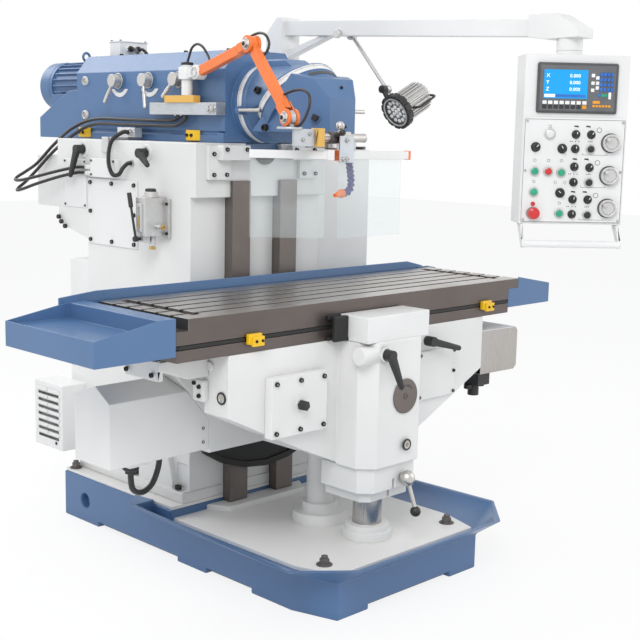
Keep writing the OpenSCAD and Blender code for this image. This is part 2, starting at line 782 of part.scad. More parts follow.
module guard_upper_arm() {
  up_l = norm([el_u - kn_u, el_z - kn_z]);
  arm_plane() difference() {
    union() {
      color(white) {
        cyl_z(kn_z - 26, kn_z + 22, 0, 0, mast_r + 12);
        box(mast_r + 4, kn_u, -15, 15, kn_z - 20, kn_z + 18);
        cyl_y(-22, 22, kn_u, kn_z, 28);
      }
      color(orange) arm_link([kn_u, kn_z], [el_u, el_z], up_l);
    }
    cyl_z(kn_z - 30, kn_z + 30, 0, 0, mast_r + run_c);
    cyl_y(-60, 60, el_u, el_z, 12 + run_c);
    cyl_y(-fork_w, fork_w, el_u, el_z, 36);
  }
}

module guard_lower_arm() {
  low_l = norm([wr_u - el_u, wr_z - el_z]);
  low_a = atan2(el_z - wr_z, wr_u - el_u);
  color(orange) arm_plane() difference() {
    union() {
      difference() {
        arm_link([el_u, el_z], [wr_u, wr_z], low_l);
        cyl_y(-60, 60, el_u, el_z, 40);
      }
      translate([el_u, 0, el_z]) rotate([0, low_a, 0]) box(0, 44, -tongue_w, tongue_w, -17, 17);
      cyl_y(-tongue_w, tongue_w, el_u, el_z, 28);
      cyl_y(-28, 28, el_u, el_z, 12);
    }
    cyl_y(-60, 60, wr_u, wr_z, 11 + run_c);
    cyl_y(-fork_w, fork_w, wr_u, wr_z, 36);
  }
}

// Guard frame with the corner at gx, gy
gx = -160;
gy = -522;
rail_z = 1596;
rod_z = 1673;
rail_l = 305;
rail_r = 396;
module guard_frame() {
  color(zinc) {
    arm_plane() {
      cyl_y(-tongue_w, tongue_w, wr_u, wr_z, 26);
      cyl_y(-28, 28, wr_u, wr_z, 11);
      box(wr_u - 14, wr_u + 14, -10, 10, 1706, wr_z);
      cyl_z(1700, 1708, wr_u, 0, 46);
    }
    box(-344, gx - 76, gy + 16, gy + 28, rod_z - 32, 1702);
    box(gx - 78, gx - 46, gy + 2, gy + 42, rod_z - 33, rod_z + 33);
    cyl_x(gx - 48, gx + 179, gy + 22, rod_z, 16);
    box(gx + 22, gx + 74, gy - 12, gy + 42, rod_z - 22, rod_z + 22);
    box(gx + 11, gx + 85, gy - 18, gy - 11, rail_z - 12, rod_z + 8);
    box(-104, -34, gy + 12, gy + 42, rod_z - 58, rod_z - 11);
    translate([gx, gy, 0]) {
      rotate([0, 0, 135]) box(14, rail_l, -12, 12, rail_z, rail_z + 30);
      box(14, rail_r, -12, 12, rail_z, rail_z + 30);
      prism_z(rail_z - 4, rail_z + 34, [[-16, -16], [22, -16], [22, 16], [-6, 30], [-28, 6]]);
    }
    box(gx + rail_r, gx + rail_r + 10, gy - 14, gy + 14, rail_z - 2, rail_z + 32);
  }
}

// Segmented coolant hose below the guard block

module coolant_hose() {
  color(hose_blue) ribbed(coolant_route, [0, 1, 0], 15, 4, 7, 7);
}

module guard_panes() {
  color(glass) translate([gx, gy, 0]) {
    rotate([0, 0, 135]) box(32, rail_l - 2, -2, 2, 1310, rail_z);
    box(24, rail_r - 30, -2, 2, 1310, rail_z);
  }
}

// Knee with the wings that carry the table

wing_pts = [
  [-knee_hw, knee_top], [knee_hw, knee_top], [knee_hw, wing_z], [340, wing_low], [block_hw, block_z + 8],
  [-block_hw, block_z + 8], [-340, wing_low], [-knee_hw, wing_z]
];
block_pts = [
  [-block_hw, wing_y0 + 1], [block_hw, wing_y0 + 1], [block_hw, knee_y0 + 55], [115, knee_y0],
  [-115, knee_y0], [-block_hw, knee_y0 + 55]
];
slide_x = way_x1 + 65;
back_y = -252;
knee_lever_l = [-92, knee_top - 44];
knee_lever_r = [316, knee_top - 59];
module knee() {
  color(white) difference() {
    union() {
      prism_y(wing_y0, wing_y0 + 130, wing_pts);
      prism_y(back_y, wing_y1, [
        [-knee_hw, knee_top], [knee_hw, knee_top], [knee_hw, knee_top - 90], [460, 640], [460, body_bot],
        [-510, body_bot], [-510, 640], [-knee_hw, knee_top - 90]
      ]);
      box(-knee_hw, knee_hw, wing_y0 + 120, back_y + 1, knee_top - 90, knee_top);
      box(-slide_x, slide_x, wing_y0 + 120, back_y + 1, body_bot, knee_top);
      prism_z(block_z, knee_top, block_pts);
      box(-slide_x, slide_x, wing_y1 - 1, way_y, body_bot, knee_top - 6);
      mirror_x() box(way_x1 + slide_c, slide_x, way_y - 1, col_y0 - 16, body_bot, knee_top - 6);
      cyl_x(-200, -60, knee_y0 + 26, knee_lever_l[1], 34);
      cyl_y(wing_y0 - 14, wing_y0 + 1, knee_lever_r[0], knee_lever_r[1], 24);
    }
    cyl_z(0, 860, 0, post_y, post_r + run_c);
    cyl_z(0, 900, 0, tube_y, tube_r + 1);
    cyl_y(knee_y0 - 30, knee_y0 + 60, knee_lever_l[0], knee_lever_l[1], 10 + run_c);
    cyl_y(wing_y0 - 20, wing_y0 + 60, knee_lever_r[0], knee_lever_r[1], 10 + run_c);
    for (x = [-470, 200]) {
      box(x, x + 270 - (x > 0 ? 50 : 0), wing_y0 + 35, wing_y0 + 131, 300, knee_top - 94);
      box(x, x + 270 - (x > 0 ? 50 : 0), back_y + 35, wing_y1 - 50, 300, knee_top - 94);
    }
  }
}

module knee_covers() {
  y = wing_y0;
  color(white) {
    box(-530, -260, y - 38, y, 636, 852);
    bolts_y(y - 38, corners(-530, -260, 636, 852, 20), 7, 5);
    bolts_y(y - 38, [[-395, 656], [-395, 832]], 7, 5);
    cyl_y(y - 62, y - 38, -395, 744, 16);
    box(270, 508, y - 12, y, 650, 846);
    bolts_y(y - 12, corners(270, 508, 650, 846, 14), 6, 4);
    cyl_y(knee_y0 - 6, knee_y0, 30, 734, 66);
    cyl_y(knee_y0 - 9, knee_y0, 38, 549, 17);
    cyl_x(-knee_hw - 8, -knee_hw, -480, 900, 16);
    prism_y(-470, -270, [
      [-knee_hw, 935], [-knee_hw, 862], [-780, 862], [-900, 905], [-900, 935]
    ]);
    box(-905, -880, -460, -280, 868, 936);
    bolts_x(-905, [[-440, 890], [-300, 890]], 8, 6);
  }
}

// End outline of the feed motor cover with its sloped roof
function cover_sec(e) = [
  [back_y + e, 528 + e], [back_y + 212 - e, 528 + e], [back_y + 212 - e, 767 - e],
  [back_y + 84, 812 - e], [back_y + e, 761 - e]
];
module motor_cover() {
  t = sheet_t;
  color(white) {
    difference() {
      intersection() {
        prism_y(back_y, back_y + 212, [
          [-950, 528], [-510, 528], [-510, 640], [-knee_hw, knee_top - 91], [-740, 826], [-950, 826]
        ]);
        prism_x(-951, -500, cover_sec(0));
      }
      intersection() {
        prism_y(back_y, back_y + 212, [
          [-950 + t, 520], [-509, 520], [-509, 634], [-knee_hw, knee_top - 100], [-742, 826], [-950 + t, 826]
        ]);
        prism_x(-951, -500, cover_sec(t));
      }
    }
    bolts_y(back_y, [[-540, 560], [-540, 612]], 6, 5);
    box(-830, -740, back_y + 52, back_y + 162, 500, 534);
  }
}

module x_drive_cover() {
  t = sheet_t;
  color(zinc) {
    difference() {
      prism_y(-572, -400, [
        [knee_hw, 700], [930, 696], [948, 712], [948, 866], [932, 882], [knee_hw, 886]
      ]);
      prism_y(-572 + t, -400 - t, [
        [knee_hw - 1, 700 + t], [930, 696 + t], [948 - t, 714], [948 - t, 864], [930, 882 - t],
        [knee_hw - 1, 886 - t]
      ]);
    }
    box(knee_hw + 30, knee_hw + 110, -540, -430, 640, 700);
    cyl_z(590, 640, knee_hw + 70, -485, 24);
  }
}

// Outline of the knee block, drawn in by e
function clamp_pts(e) = [
  [-block_hw + e, post_y + 100], [block_hw - e, post_y + 100], [block_hw - e, knee_y0 + 55 + e / 3],
  [115 - e / 3, knee_y0 + e], [-115 + e / 3, knee_y0 + e], [-block_hw + e, knee_y0 + 55 + e / 3]
];
module support_clamp() {
  color(white) difference() {
    union() {
      prism_z(clamp_z + 40, block_z, clamp_pts(14));
      prism_z(clamp_z, clamp_z + 40, clamp_pts(40));
    }
    cyl_z(0, 900, 0, post_y, post_r + run_c);
    box(-6, 6, knee_y0 - 20, post_y, clamp_z - 1, block_z - 60);
    cyl_y(knee_y0 - 20, knee_y0 + 80, 40, 420, 9 + run_c);
  }
}

module clamp_lever() {
  color(black) {
    cyl_y(-740, -655, 40, 420, 9);
    translate([40, -747, 420]) sphere(r = 30, $fn = 32);
    bar([[40, -747, 420], [50, -784, 302]], 8);
    translate([50, -784, 298]) sphere(r = 20, $fn = 32);
  }
}

module knee_lever_left() {
  color(black) {
    cyl_y(knee_y0 - 46, knee_y0 + 50, knee_lever_l[0], knee_lever_l[1], 10);
    cyl_y(knee_y0 - 48, knee_y0 - 8.5, knee_lever_l[0], knee_lever_l[1], 20);
    hull() {
      cyl_y(knee_y0 - 46, knee_y0 - 26, knee_lever_l[0], knee_lever_l[1], 15, $fn = 32);
      translate([-52, knee_y0 - 54, knee_top - 161]) sphere(r = 11, $fn = 32);
    }
  }
}

module knee_lever_right() {
  y = wing_y0 - 14;
  color(black) {
    cyl_y(y - 40, y + 60, knee_lever_r[0], knee_lever_r[1], 10);
    cyl_y(y - 42, y, knee_lever_r[0], knee_lever_r[1], 20);
    hull() {
      cyl_y(y - 40, y - 22, knee_lever_r[0], knee_lever_r[1], 15, $fn = 32);
      translate([456, y - 50, knee_top - 97]) sphere(r = 11, $fn = 32);
    }
  }
}

module front_cover() {
  t = sheet_t;
  z1 = table_top - 48;
  color(white) difference() {
    box(-block_hw, block_hw, knee_y0 + 10, tab_y0 - 6, knee_top, z1);
    box(-block_hw + t, block_hw - t, knee_y0 + 10 + t, tab_y0 - 6 - t, knee_top - 1, z1 - t);
    box(-block_hw - 1, block_hw + 1, tab_y0 - 40, tab_y0, slab_z - 86, slab_z - 28);
  }
}

// Table with slots, trays and splash guard

module table() {
  yc = (tab_y0 + tab_y1) / 2;
  color(steel) difference() {
    union() {
      box(tab_x0, tab_x1, tab_y0, tab_y1, slab_z, table_top);
      box(tab_x0 - 50, tab_x1 - 68, tab_y0, tab_y1 - 20, body_z, slab_z);
    }
    for (i = [-2 : 2]) {
      y = yc + i * slot_pitch;
      box(tab_x0 - 1, tab_x1 + 1, y - slot_w / 2, y + slot_w / 2, table_top - 36, table_top + 1);
      box(tab_x0 - 1, tab_x1 + 1, y - slot_w / 2 - 7, y + slot_w / 2 + 7, table_top - 36, table_top - 20);
    }
    for (x = [tab_x0 + 62, tab_x1 - 104])
      box(x, x + 42, tab_y0 + 56, tab_y1 - 26, table_top - 14, table_top + 1);
    box(tab_x0 - 51, tab_x1 + 1, tab_y0 - 1, tab_y0 + 14, slab_z - 62, slab_z - 46);
  }
}

// Sheet tray drawn outward from x = 0, with a shelf beside the table and a raised floor
module tray(l, shelf, y0, y1, z0, zi, zo) {
  t = sheet_t;
  fz = zo - 14;
  difference() {
    prism_y(y0, y1, [[0, z0], [l, z0], [l, zo], [shelf, zi], [0, zi]]);
    prism_y(y0 + t, y1 - t, [[shelf + t, fz], [l - t, fz], [l - t, zo + 60], [shelf + t, zi + 60]]);
    prism_y(y0 + t, y1 - t, [
      [t, z0 - 1], [l - t, z0 - 1], [l - t, fz - t], [shelf, fz - t], [shelf, zi - t], [t, zi - t]
    ]);
  }
}
tray_z0 = table_top - 121;
tray_zi = table_top + 5;
tray_zo = table_top - 36;

module tray_left() {
  color(blue) translate([tab_x0 - 50, 0, 0]) mirror([1, 0, 0])
    tray(312, 66, tab_y0, tab_y1 + 14, tray_z0, tray_zi, tray_zo);
}

module tray_right() {
  x = tab_x1 - 68;
  l = 301;
  shelf = tab_x1 - x + 2;
  color(blue) difference() {
    union() {
      translate([x, 0, 0]) tray(l, shelf, tab_y0, tab_y1 + 14, tray_z0, tray_zi, tray_zo);
      prism_z(tray_z0, tray_zo - 8, [
        [x + l, -404], [x + l, -384], [x + l - 180, tab_y1 + 14], [x + l - 206, tab_y1 + 14]
      ]);
    }
    prism_z(900, 1200, [
      [x + l + 4, -380], [x + l + 4, 200], [x + l - 176, 200], [x + l - 176, tab_y1 + 20]
    ]);
    box(x - 1, tab_x1 + 0.5, tab_y0 - 1, tab_y1 + 0.5, slab_z - 0.5, 1200);
    // the slots drain over the lowered inner wall
    box(
      x - 1, x + shelf + sheet_t + 0.5, tab_y0 + sheet_t, tab_y1 + 14 - sheet_t, slab_z - 0.5, 1200
    );
  }
}

module splash_guard() {
  color(blue) {
    prism_y(tab_y1 + 14, tab_y1 + 22, [
      [tab_x0 - 153, table_top - 51], [tab_x1 - 30, table_top - 51], [tab_x1 - 30, table_top + 9],
      [tab_x1 - 133, table_top + 33], [tab_x0, table_top + 35], [tab_x0 - 153, table_top + 21]
    ]);
    box(tab_x0 + 20, tab_x1 - 70, tab_y1, tab_y1 + 14, slab_z + 5, slab_z + 19);
  }
}

module table_dogs() {
  z = slab_z - 54;
  color(yellow) for (x = [-590, 700]) {
    box(x - 30, x + 30, tab_y0 - 16, tab_y0, z - 18, z + 18);
    box(x - 22, x + 30, tab_y0 - 30, tab_y0 - 16, z - 24, z + 10);
    box(x - 20, x + 20, tab_y0, tab_y0 + 12, z - 7, z + 7);
  }
}

// Pendant on its swing arm

module pendant_post() {
  color(white) {
    box(pp_x - 70, pp_x + 70, pp_y - 70, pp_y + 70, pp_z0, pp_z0 + 16);
    cyl_z(pp_z0 + 16, hub_z0 - slide_c, pp_x, pp_y, 48);
    cyl_z(hub_z0 - 1, 2086, pp_x, pp_y, 32);
    bolts_z(pp_z0 + 16, corners(pp_x - 70, pp_x + 70, pp_y - 70, pp_y + 70, 18), 9, 8);
  }
}

beam_tilt = 2.4;
module pendant_arm() {
  color(white) difference() {
    union() {
      prism_x(pp_x - 56, pp_x + 56, [
        [pp_y - 50, hub_z0], [pp_y + 48, hub_z0], [pp_y + 48, 2112], [pp_y - 20, 2182], [pp_y - 50, 2182]
      ]);
      prism_x(pp_x - 32, pp_x + 32, [
        [pp_y - 40, 2106], [pp_y - 40, 2168], [-950, 2111], [-950, 2050]
      ]);
      prism_x(pp_x - 20, pp_x + 20, [[pp_y - 40, 2004], [pp_y - 40, 2040], [118, 2104], [66, 2102]]);
      prism_x(pp_x - 50, pp_x + 50, [
        [-948, 2046], [-948, 2126], [-1060, 2126], [-1158, 2072], [-1158, 2040], [-1020, 2036]
      ]);
      cyl_z(nk_z + 20, 2060, pp_x, nk_y, 46);
    }
    cyl_z(1900, 2087, pp_x, pp_y, 32 + run_c);
    cyl_z(1900, nk_z + 60, pp_x, nk_y, 24 + run_c);
    cyl_x(pp_x - 33, pp_x + 33, 20, 2098, 9 + run_c);
  }
}

// Pendant drawn facing -Y round its neck, then turned
module at_pendant() {
  translate([pp_x, nk_y, 0]) rotate([0, 0, pend_a]) children();
}
pf = -pend_d;
pz1 = nk_z;
pz0 = nk_z - pend_h;
wheel_z = [pz1 - 300, pz1 - 413, pz1 - 527];
wheel_x = 128;
stop_x = -136;
stop_z = pz1 - 548;

module pendant_box() {
  color(white) at_pendant() difference() {
    union() {
      box(-pend_w / 2, pend_w / 2, pf, 0, pz0, pz1);
      box(-pend_w / 2 + 8, pend_w / 2 - 8, 0, 26, pz0 + 8, pz1 - 8);
      cyl_z(pz1 - 4, nk_z + 20 - slide_c, 0, 0, 46);
      cyl_z(pz1 - 4, nk_z + 58, 0, 0, 24);
      box(-pend_w / 2 + 4, pend_w / 2 - 4, pf - 5, pf, pz0 + 6, pz0 + 372);
      for (s = [-1, 1])
        prism_x(s * (pend_w / 2 - 12) - 5, s * (pend_w / 2 - 12) + 5, [
          [pf + 6, pz0 + 1], [pf + 60, pz0 + 1], [pf - 22, pz0 - 84], [pf - 44, pz0 - 76]
        ]);
      cyl_x(-pend_w / 2 + 8, pend_w / 2 - 8, pf - 30, pz0 - 68, 13);
    }
    box(-pend_w / 2 + 4, pend_w / 2 - 4, pf + 8, 22, pz0 + 12, pz1 - 12);
    cyl_z(pz1 - 20, nk_z + 59, 0, 0, 14);
    for (z = wheel_z) cyl_y(pf - 6, pf + 40, wheel_x, z, 8 + run_c);
    cyl_y(pf - 6, pf + 40, stop_x, stop_z, 9 + run_c);
  }
}

module pendant_readout() {
  color(black) at_pendant() {
    box(-142, 142, pf - 12, pf, pz1 - 200, pz1 - 28);
    box(-120, 34, pf - 15, pf - 12, pz1 - 150, pz1 - 52);
    for (i = [0 : 7]) box(-122 + 20 * i, -106 + 20 * i, pf - 16, pf - 12, pz1 - 184, pz1 - 168);
    for (i = [0 : 2], k = [0 : 3])
      box(58 + 25 * i, 76 + 25 * i, pf - 16, pf - 12, pz1 - 72 - 25 * k, pz1 - 54 - 25 * k);
  }
}

// Push buttons, lamps and selectors, x from the middle and z below the top
button_pts = [
  [-88, 272, 13], [-136, 318, 13], [-42, 322, 13], [-136, 402, 13], [-88, 402, 13], [-42, 405, 13],
  [-136, 474, 13], [-42, 476, 13], [-42, 548, 13], [4, 272, 11], [58, 272, 11], [4, 322, 11],
  [58, 322, 11], [4, 384, 11], [58, 386, 11], [4, 438, 11], [58, 438, 11], [4, 498, 11], [58, 498, 11],
  [4, 550, 11], [58, 552, 11]
];
module pendant_controls() {
  color(black) at_pendant() for (p = button_pts) {
    cyl_y(pf - 10, pf - 5, p[0], pz1 - p[1], p[2] + 3, $fn = 32);
    cyl_y(pf - 20, pf - 10, p[0], pz1 - p[1], p[2] - 2, $fn = 32);
  }
}

module e_stop() {
  color(red) at_pendant() {
    cyl_y(pf - 24, pf + 30, stop_x, stop_z, 9);
    cyl_y(pf - 38, pf - 16, stop_x, stop_z, 20);
  }
}

module handwheel(i) {
  z = wheel_z[i];
  color(zinc) at_pendant() {
    cyl_y(pf - 20, pf + 36, wheel_x, z, 8);
    cyl_y(pf - 26, pf - 6, wheel_x, z, 31);
    cyl_y(pf - 44, pf - 24, wheel_x - 16, z + 12, 7);
  }
}

module handwheel_x() {
  handwheel(0);
}

module handwheel_y() {
  handwheel(1);
}

module handwheel_z() {
  handwheel(2);
}

// Work lamp hung from the pendant arm

lamp_p = [pp_x + 46, -188, 1871];
lamp_f = lamp_p + [15, -49, -87];
lamp_l = 150;
module lamp_arm() {
  color(zinc) difference() {
    union() {
      cyl_x(pp_x - 44, pp_x + 60, 20, 2098, 9);
      cyl_x(pp_x + 33, pp_x + 60, 20, 2098, 20);
      cyl_x(pp_x - 52, pp_x - 34, 20, 2098, 18);
      bar([[pp_x + 46, 20, 2098], lamp_p], 8);
      cyl_x(pp_x + 35, pp_x + 57, lamp_p[1], lamp_p[2], 18);
    }
    cyl_x(pp_x + 34, pp_x + 58, lamp_p[1], lamp_p[2], 8 + run_c);
  }
}

module lamp_head() {
  color(black) {
    cyl_x(pp_x + 8, pp_x + 60, lamp_p[1], lamp_p[2], 8);
    cyl_x(pp_x + 10, pp_x + 34, lamp_p[1], lamp_p[2], 16);
    bar([[pp_x + 22, lamp_p[1], lamp_p[2]], [pp_x + 22, lamp_p[1] - 28, lamp_p[2] - 40]], 10);
    bar([[pp_x + 22, lamp_p[1] - 22, lamp_p[2] - 32], lamp_f + [18, -1, 9]], 9);
  }
  color(zinc) translate(lamp_f) rotate([0, 62, -4]) {
    cylinder(r = 56, h = lamp_l);
    for (a = [0 : 15 : 345]) rotate([0, 0, a]) box(50, 64, -2.5, 2.5, 8, lamp_l - 4);
    translate([0, 0, -16]) difference() {
      cylinder(r = 76, h = 30);
      translate([0, 0, -1]) cylinder(r = 62, h = 11);
      for (a = [0 : 30 : 330]) rotate([0, 0, a]) translate([78, 0, -1]) cylinder(r = 7, h = 32, $fn = 24);
    }
  }
}

// Cable pair from the column to the guard tube
module machine_cables() {
  color(black) {
    cord(cable_route_a, [1, 0.3, 0.2], 7, 3);
    cord(cable_route_b, [1, 0.3, 0.2], 7, 3);
  }
}

base_casting();
base_deck();
anchor_bolts();
column();
column_ways();
column_covers();
rear_boxes();
electric_cabinet();
lube_pump();
lube_handle();
ram_clamp_rear();
ram_clamp_front();
support_post();
screw_tube();
pendant_post();
way_apron();
limit_switch();
switch_hose();
screw_cap();
ram();
ram_motor();
ram_trim();
ram_dogs();
guard_bracket();
speed_lever_a();
speed_lever_b();
speed_lever_c();
head_swivel();
spindle_head();
vertical_spindle();
coolant_hose();
guard_upper_arm();
guard_lower_arm();
guard_frame();
guard_panes();
knee();
knee_covers();
motor_cover();
x_drive_cover();
support_clamp();
clamp_lever();
knee_lever_left();
knee_lever_right();
front_cover();
table();
tray_left();
tray_right();
splash_guard();
table_dogs();
pendant_arm();
pendant_box();
pendant_readout();
pendant_controls();
e_stop();
handwheel_x();
handwheel_y();
handwheel_z();
lamp_arm();
lamp_head();
machine_cables();
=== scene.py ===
import bmesh
import bpy
import json
import math
from mathutils import Matrix, Vector


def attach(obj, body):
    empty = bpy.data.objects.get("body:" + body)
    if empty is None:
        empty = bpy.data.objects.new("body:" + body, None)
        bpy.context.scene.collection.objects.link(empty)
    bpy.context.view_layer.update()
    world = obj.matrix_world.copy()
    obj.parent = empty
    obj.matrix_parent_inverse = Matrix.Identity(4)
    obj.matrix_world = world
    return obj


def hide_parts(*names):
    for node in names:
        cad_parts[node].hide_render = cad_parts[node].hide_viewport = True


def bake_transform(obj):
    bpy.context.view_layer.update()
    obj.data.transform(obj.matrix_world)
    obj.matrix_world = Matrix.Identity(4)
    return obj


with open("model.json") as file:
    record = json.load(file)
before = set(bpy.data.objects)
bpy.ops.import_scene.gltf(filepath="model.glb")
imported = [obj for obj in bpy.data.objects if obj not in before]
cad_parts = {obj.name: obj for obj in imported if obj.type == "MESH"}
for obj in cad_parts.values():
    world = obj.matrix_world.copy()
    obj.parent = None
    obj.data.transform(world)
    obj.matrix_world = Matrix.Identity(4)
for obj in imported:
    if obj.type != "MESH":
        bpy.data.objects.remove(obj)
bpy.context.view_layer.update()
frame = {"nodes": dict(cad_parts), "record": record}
mm = 0.001
print("frame loaded:", len(frame["nodes"]), "nodes")


# Camera

cameraView = {
    "place": (-3.225, -3.518, 1.699),
    "right": (0.7076, -0.7063, 0.0208),
    "up": (0.0976, 0.1269, 0.9871),
    "ahead": (0.6999, 0.6964, -0.1587),
    "lens": 66.4,
    "sensor": 36.0,
}


def show(name, data):
    made = bpy.data.objects.new(name, data)
    bpy.context.scene.collection.objects.link(made)
    return made


def placeCamera():
    data = bpy.data.cameras.new("photoCamera")
    data.lens = cameraView["lens"]
    data.sensor_width = cameraView["sensor"]
    data.clip_start, data.clip_end = 0.1, 60
    camera = show("photoCamera", data)
    right, up, ahead = (Vector(cameraView[k]).normalized() for k in ("right", "up", "ahead"))
    turn = Matrix((right, up, -ahead)).transposed().to_4x4()
    camera.matrix_world = Matrix.Translation(cameraView["place"]) @ turn
    bpy.context.scene.camera = camera


placeCamera()
bpy.context.scene.view_settings.view_transform = "Standard"


# Shader maths on wrapped sockets

class Sock:
    def __init__(self, tree, socket):
        self.tree, self.socket = tree, socket

    def math(self, operation, *terms):
        node = self.tree.nodes.new("ShaderNodeMath")
        node.operation = operation
        for slot, term in zip(node.inputs, terms):
            feed(self.tree, slot, term)
        return Sock(self.tree, node.outputs[0])


def sign(operation, swapped):
    def act(self, other):
        return self.math(operation, *((other, self) if swapped else (self, other)))
    return act


for word, operation in (("add", "ADD"), ("sub", "SUBTRACT"), ("mul", "MULTIPLY")):
    setattr(Sock, f"__{word}__", sign(operation, False))
    setattr(Sock, f"__r{word}__", sign(operation, True))


def feed(tree, slot, value):
    if isinstance(value, Sock):
        tree.links.new(value.socket, slot)
    else:
        slot.default_value = value


# One way to add any node: kind, socket values or links, settings as keywords
class Nodes:
    def __init__(self, tree, prefix):
        self.tree, self.prefix = tree, prefix

    def node(self, kind, sockets=None, out=0, **settings):
        made = self.tree.nodes.new(kind if "Node" in kind else self.prefix + kind)
        for key, value in settings.items():
            setattr(made, key, value)
        for key, value in (sockets or {}).items():
            feed(self.tree, made.inputs[key], value)
        return Sock(self.tree, made.outputs[out]) if made.outputs else None

    # 1 for camera, glossy and transmission rays
    def seenRays(self):
        direct, glossy, through = (self.node("LightPath", out=k) for k in (0, 3, 6))
        return direct.math("MINIMUM", direct + glossy + through, 1.0)


class Finish(Nodes):
    def __init__(self, name):
        self.material = bpy.data.materials.new(name)
        self.material.use_nodes = True
        super().__init__(self.material.node_tree, "ShaderNode")
        self.tree.nodes.clear()

    def noise(self, scale, detail=2.0, stretch=(1, 1, 1), rough=0.5):
        where = self.node("TexCoord", out=3)
        place = self.node("Mapping", {"Vector": where, "Scale": stretch})
        return self.node("TexNoise", {
            "Vector": place, "Scale": scale, "Detail": detail, "Roughness": rough})

    def span(self, value, low, high):
        return self.node("MapRange", {"Value": value, "From Min": low, "From Max": high})

    def blend(self, mask, first, second):
        return self.node("Mix", {0: mask, 6: first, 7: second}, 2, data_type="RGBA")

    # Ambient occlusion, used below to paint shade into corners and crevices
    def corners(self, reach):
        return self.node("AmbientOcclusion", {"Distance": reach}, 1, samples=4)

    # Mask of the rounded edges, from the bevel normal against the true normal; the finishes paint paler edges
    # with it, partly painted highlight and partly wear
    def edges(self, radius):
        soft = self.node("Bevel", {"Radius": radius}, samples=4)
        hard = self.node("NewGeometry", out=1)
        match = self.node("VectorMath", {0: soft, 1: hard}, 1, operation="DOT_PRODUCT")
        return soft, self.span(1 - match, 0.02, 0.22)

    def bump(self, height, distance, strength, under):
        return self.node("Bump", {
            "Height": height, "Distance": distance, "Strength": strength, "Normal": under})

    def surface(self, **sockets):
        values = {key.replace("_", " ").title(): value for key, value in sockets.items()}
        return self.finish(self.node("BsdfPrincipled", values))

    def finish(self, shader):
        self.node("OutputMaterial", {"Surface": shader})
        return self.material


def rgb(red, green, blue):
    return (red, green, blue, 1.0)


def shade(color, factor):
    return tuple(min(1.0, c * factor) for c in color[:3]) + (1.0,)


def looks(keys, rows):
    return {name: dict(zip(keys, row[3:]), color=rgb(*row[:3])) for name, row in rows.items()}


# Painted metal: slow tone drift, painted shade in the corners mixed with dirt spots, paler edges that are
# partly painted highlight and partly wear, and a fine orange peel
paintLooks = looks(("peel", "depth", "rough"), {
    "whiteCasting": (0.80, 0.80, 0.785, 260, 0.0005, 0.42),
    "whiteSheet": (0.82, 0.82, 0.81, 520, 0.00025, 0.34),
    "whiteFloorPaint": (0.84, 0.83, 0.81, 200, 0.0006, 0.5),
    "blueCasting": (0.082, 0.172, 0.345, 240, 0.0005, 0.36),
    "blueSheet": (0.086, 0.176, 0.345, 480, 0.0003, 0.32),
    "orangePaint": (0.90, 0.20, 0.035, 420, 0.0003, 0.3),
    "ochrePaint": (0.80, 0.47, 0.10, 420, 0.0003, 0.4),
    "yellowPaint": (0.93, 0.56, 0.01, 420, 0.0003, 0.38),
})


def paint(name):
    look = paintLooks[name]
    f = Finish(name)
    color = look["color"]
    drift = f.span(f.noise(1.7, 3.0), 0.35, 0.7)
    tone = f.blend(drift, shade(color, 0.95), shade(color, 1.04))
    # painted shade: ambient occlusion darkens corners and crevices, broken up by noise spots of dirt; the
    # same mask also roughens the surface
    unoccluded = f.corners(0.035)
    spots = f.span(f.noise(9.0, 5.0, rough=0.65), 0.45, 0.75)
    shadeAndDirt = (1 - unoccluded) * (0.25 + 0.35 * spots)
    tone = f.blend(shadeAndDirt, tone, shade(color, 0.55))
    # paler edges: a brighter copy of the paint colour, partly painted highlight and partly worn paint
    soft, edge = f.edges(0.0025)
    wearAndSheen = f.span(f.noise(60.0, 4.0), 0.5, 0.62)
    tone = f.blend(edge * (0.15 + 0.25 * wearAndSheen), tone, shade(color, 1.22))
    rough = look["rough"] + 0.14 * (f.noise(14.0, 3.0) - 0.5) + 0.1 * shadeAndDirt
    peel = f.bump(f.noise(look["peel"], 1.0), look["depth"], 0.35, soft)
    return f.surface(base_color=tone, roughness=rough, normal=peel, coat_weight=0.12, coat_roughness=0.25)


# Ground and scraped metal: fine lines along the grinding, brown oil tint and stains, painted shade in the
# corners, and paler edges that are partly painted highlight and partly wear
groundLooks = looks(("lines", "rough", "metal"), {
    "tableIron": (0.27, 0.25, 0.238, (1.2, 60, 60), 0.34, 0.8),
    "tableTop": (0.47, 0.455, 0.44, (1.2, 60, 60), 0.3, 0.9),
    "tableFlank": (0.150, 0.128, 0.120, (1.2, 60, 60), 0.34, 0.7),
    "brushedSheet": (0.47, 0.45, 0.43, (40, 40, 2), 0.36, 0.8),
    "wayIron": (0.19, 0.168, 0.158, (55, 55, 1.4), 0.42, 0.7),
    "turnedSteel": (0.52, 0.51, 0.50, (3, 3, 90), 0.2, 1.0),
    "brightSteel": (0.62, 0.61, 0.60, (30, 30, 30), 0.26, 1.0),
    "zincTube": (0.60, 0.64, 0.68, (40, 2, 40), 0.34, 0.9),
    "castAlloy": (0.70, 0.71, 0.72, (22, 22, 22), 0.36, 0.75),
    "plateSteel": (0.19, 0.168, 0.158, (40, 40, 3), 0.38, 0.8),
    "satinAlloy": (0.66, 0.66, 0.655, (30, 30, 30), 0.32, 0.75),
    "brassMetal": (0.62, 0.42, 0.14, (30, 30, 30), 0.3, 1.0),
    "darkBolt": (0.035, 0.034, 0.034, (40, 40, 40), 0.45, 0.6),
    "wornSteel": (0.17, 0.155, 0.15, (40, 40, 40), 0.5, 0.7),
})


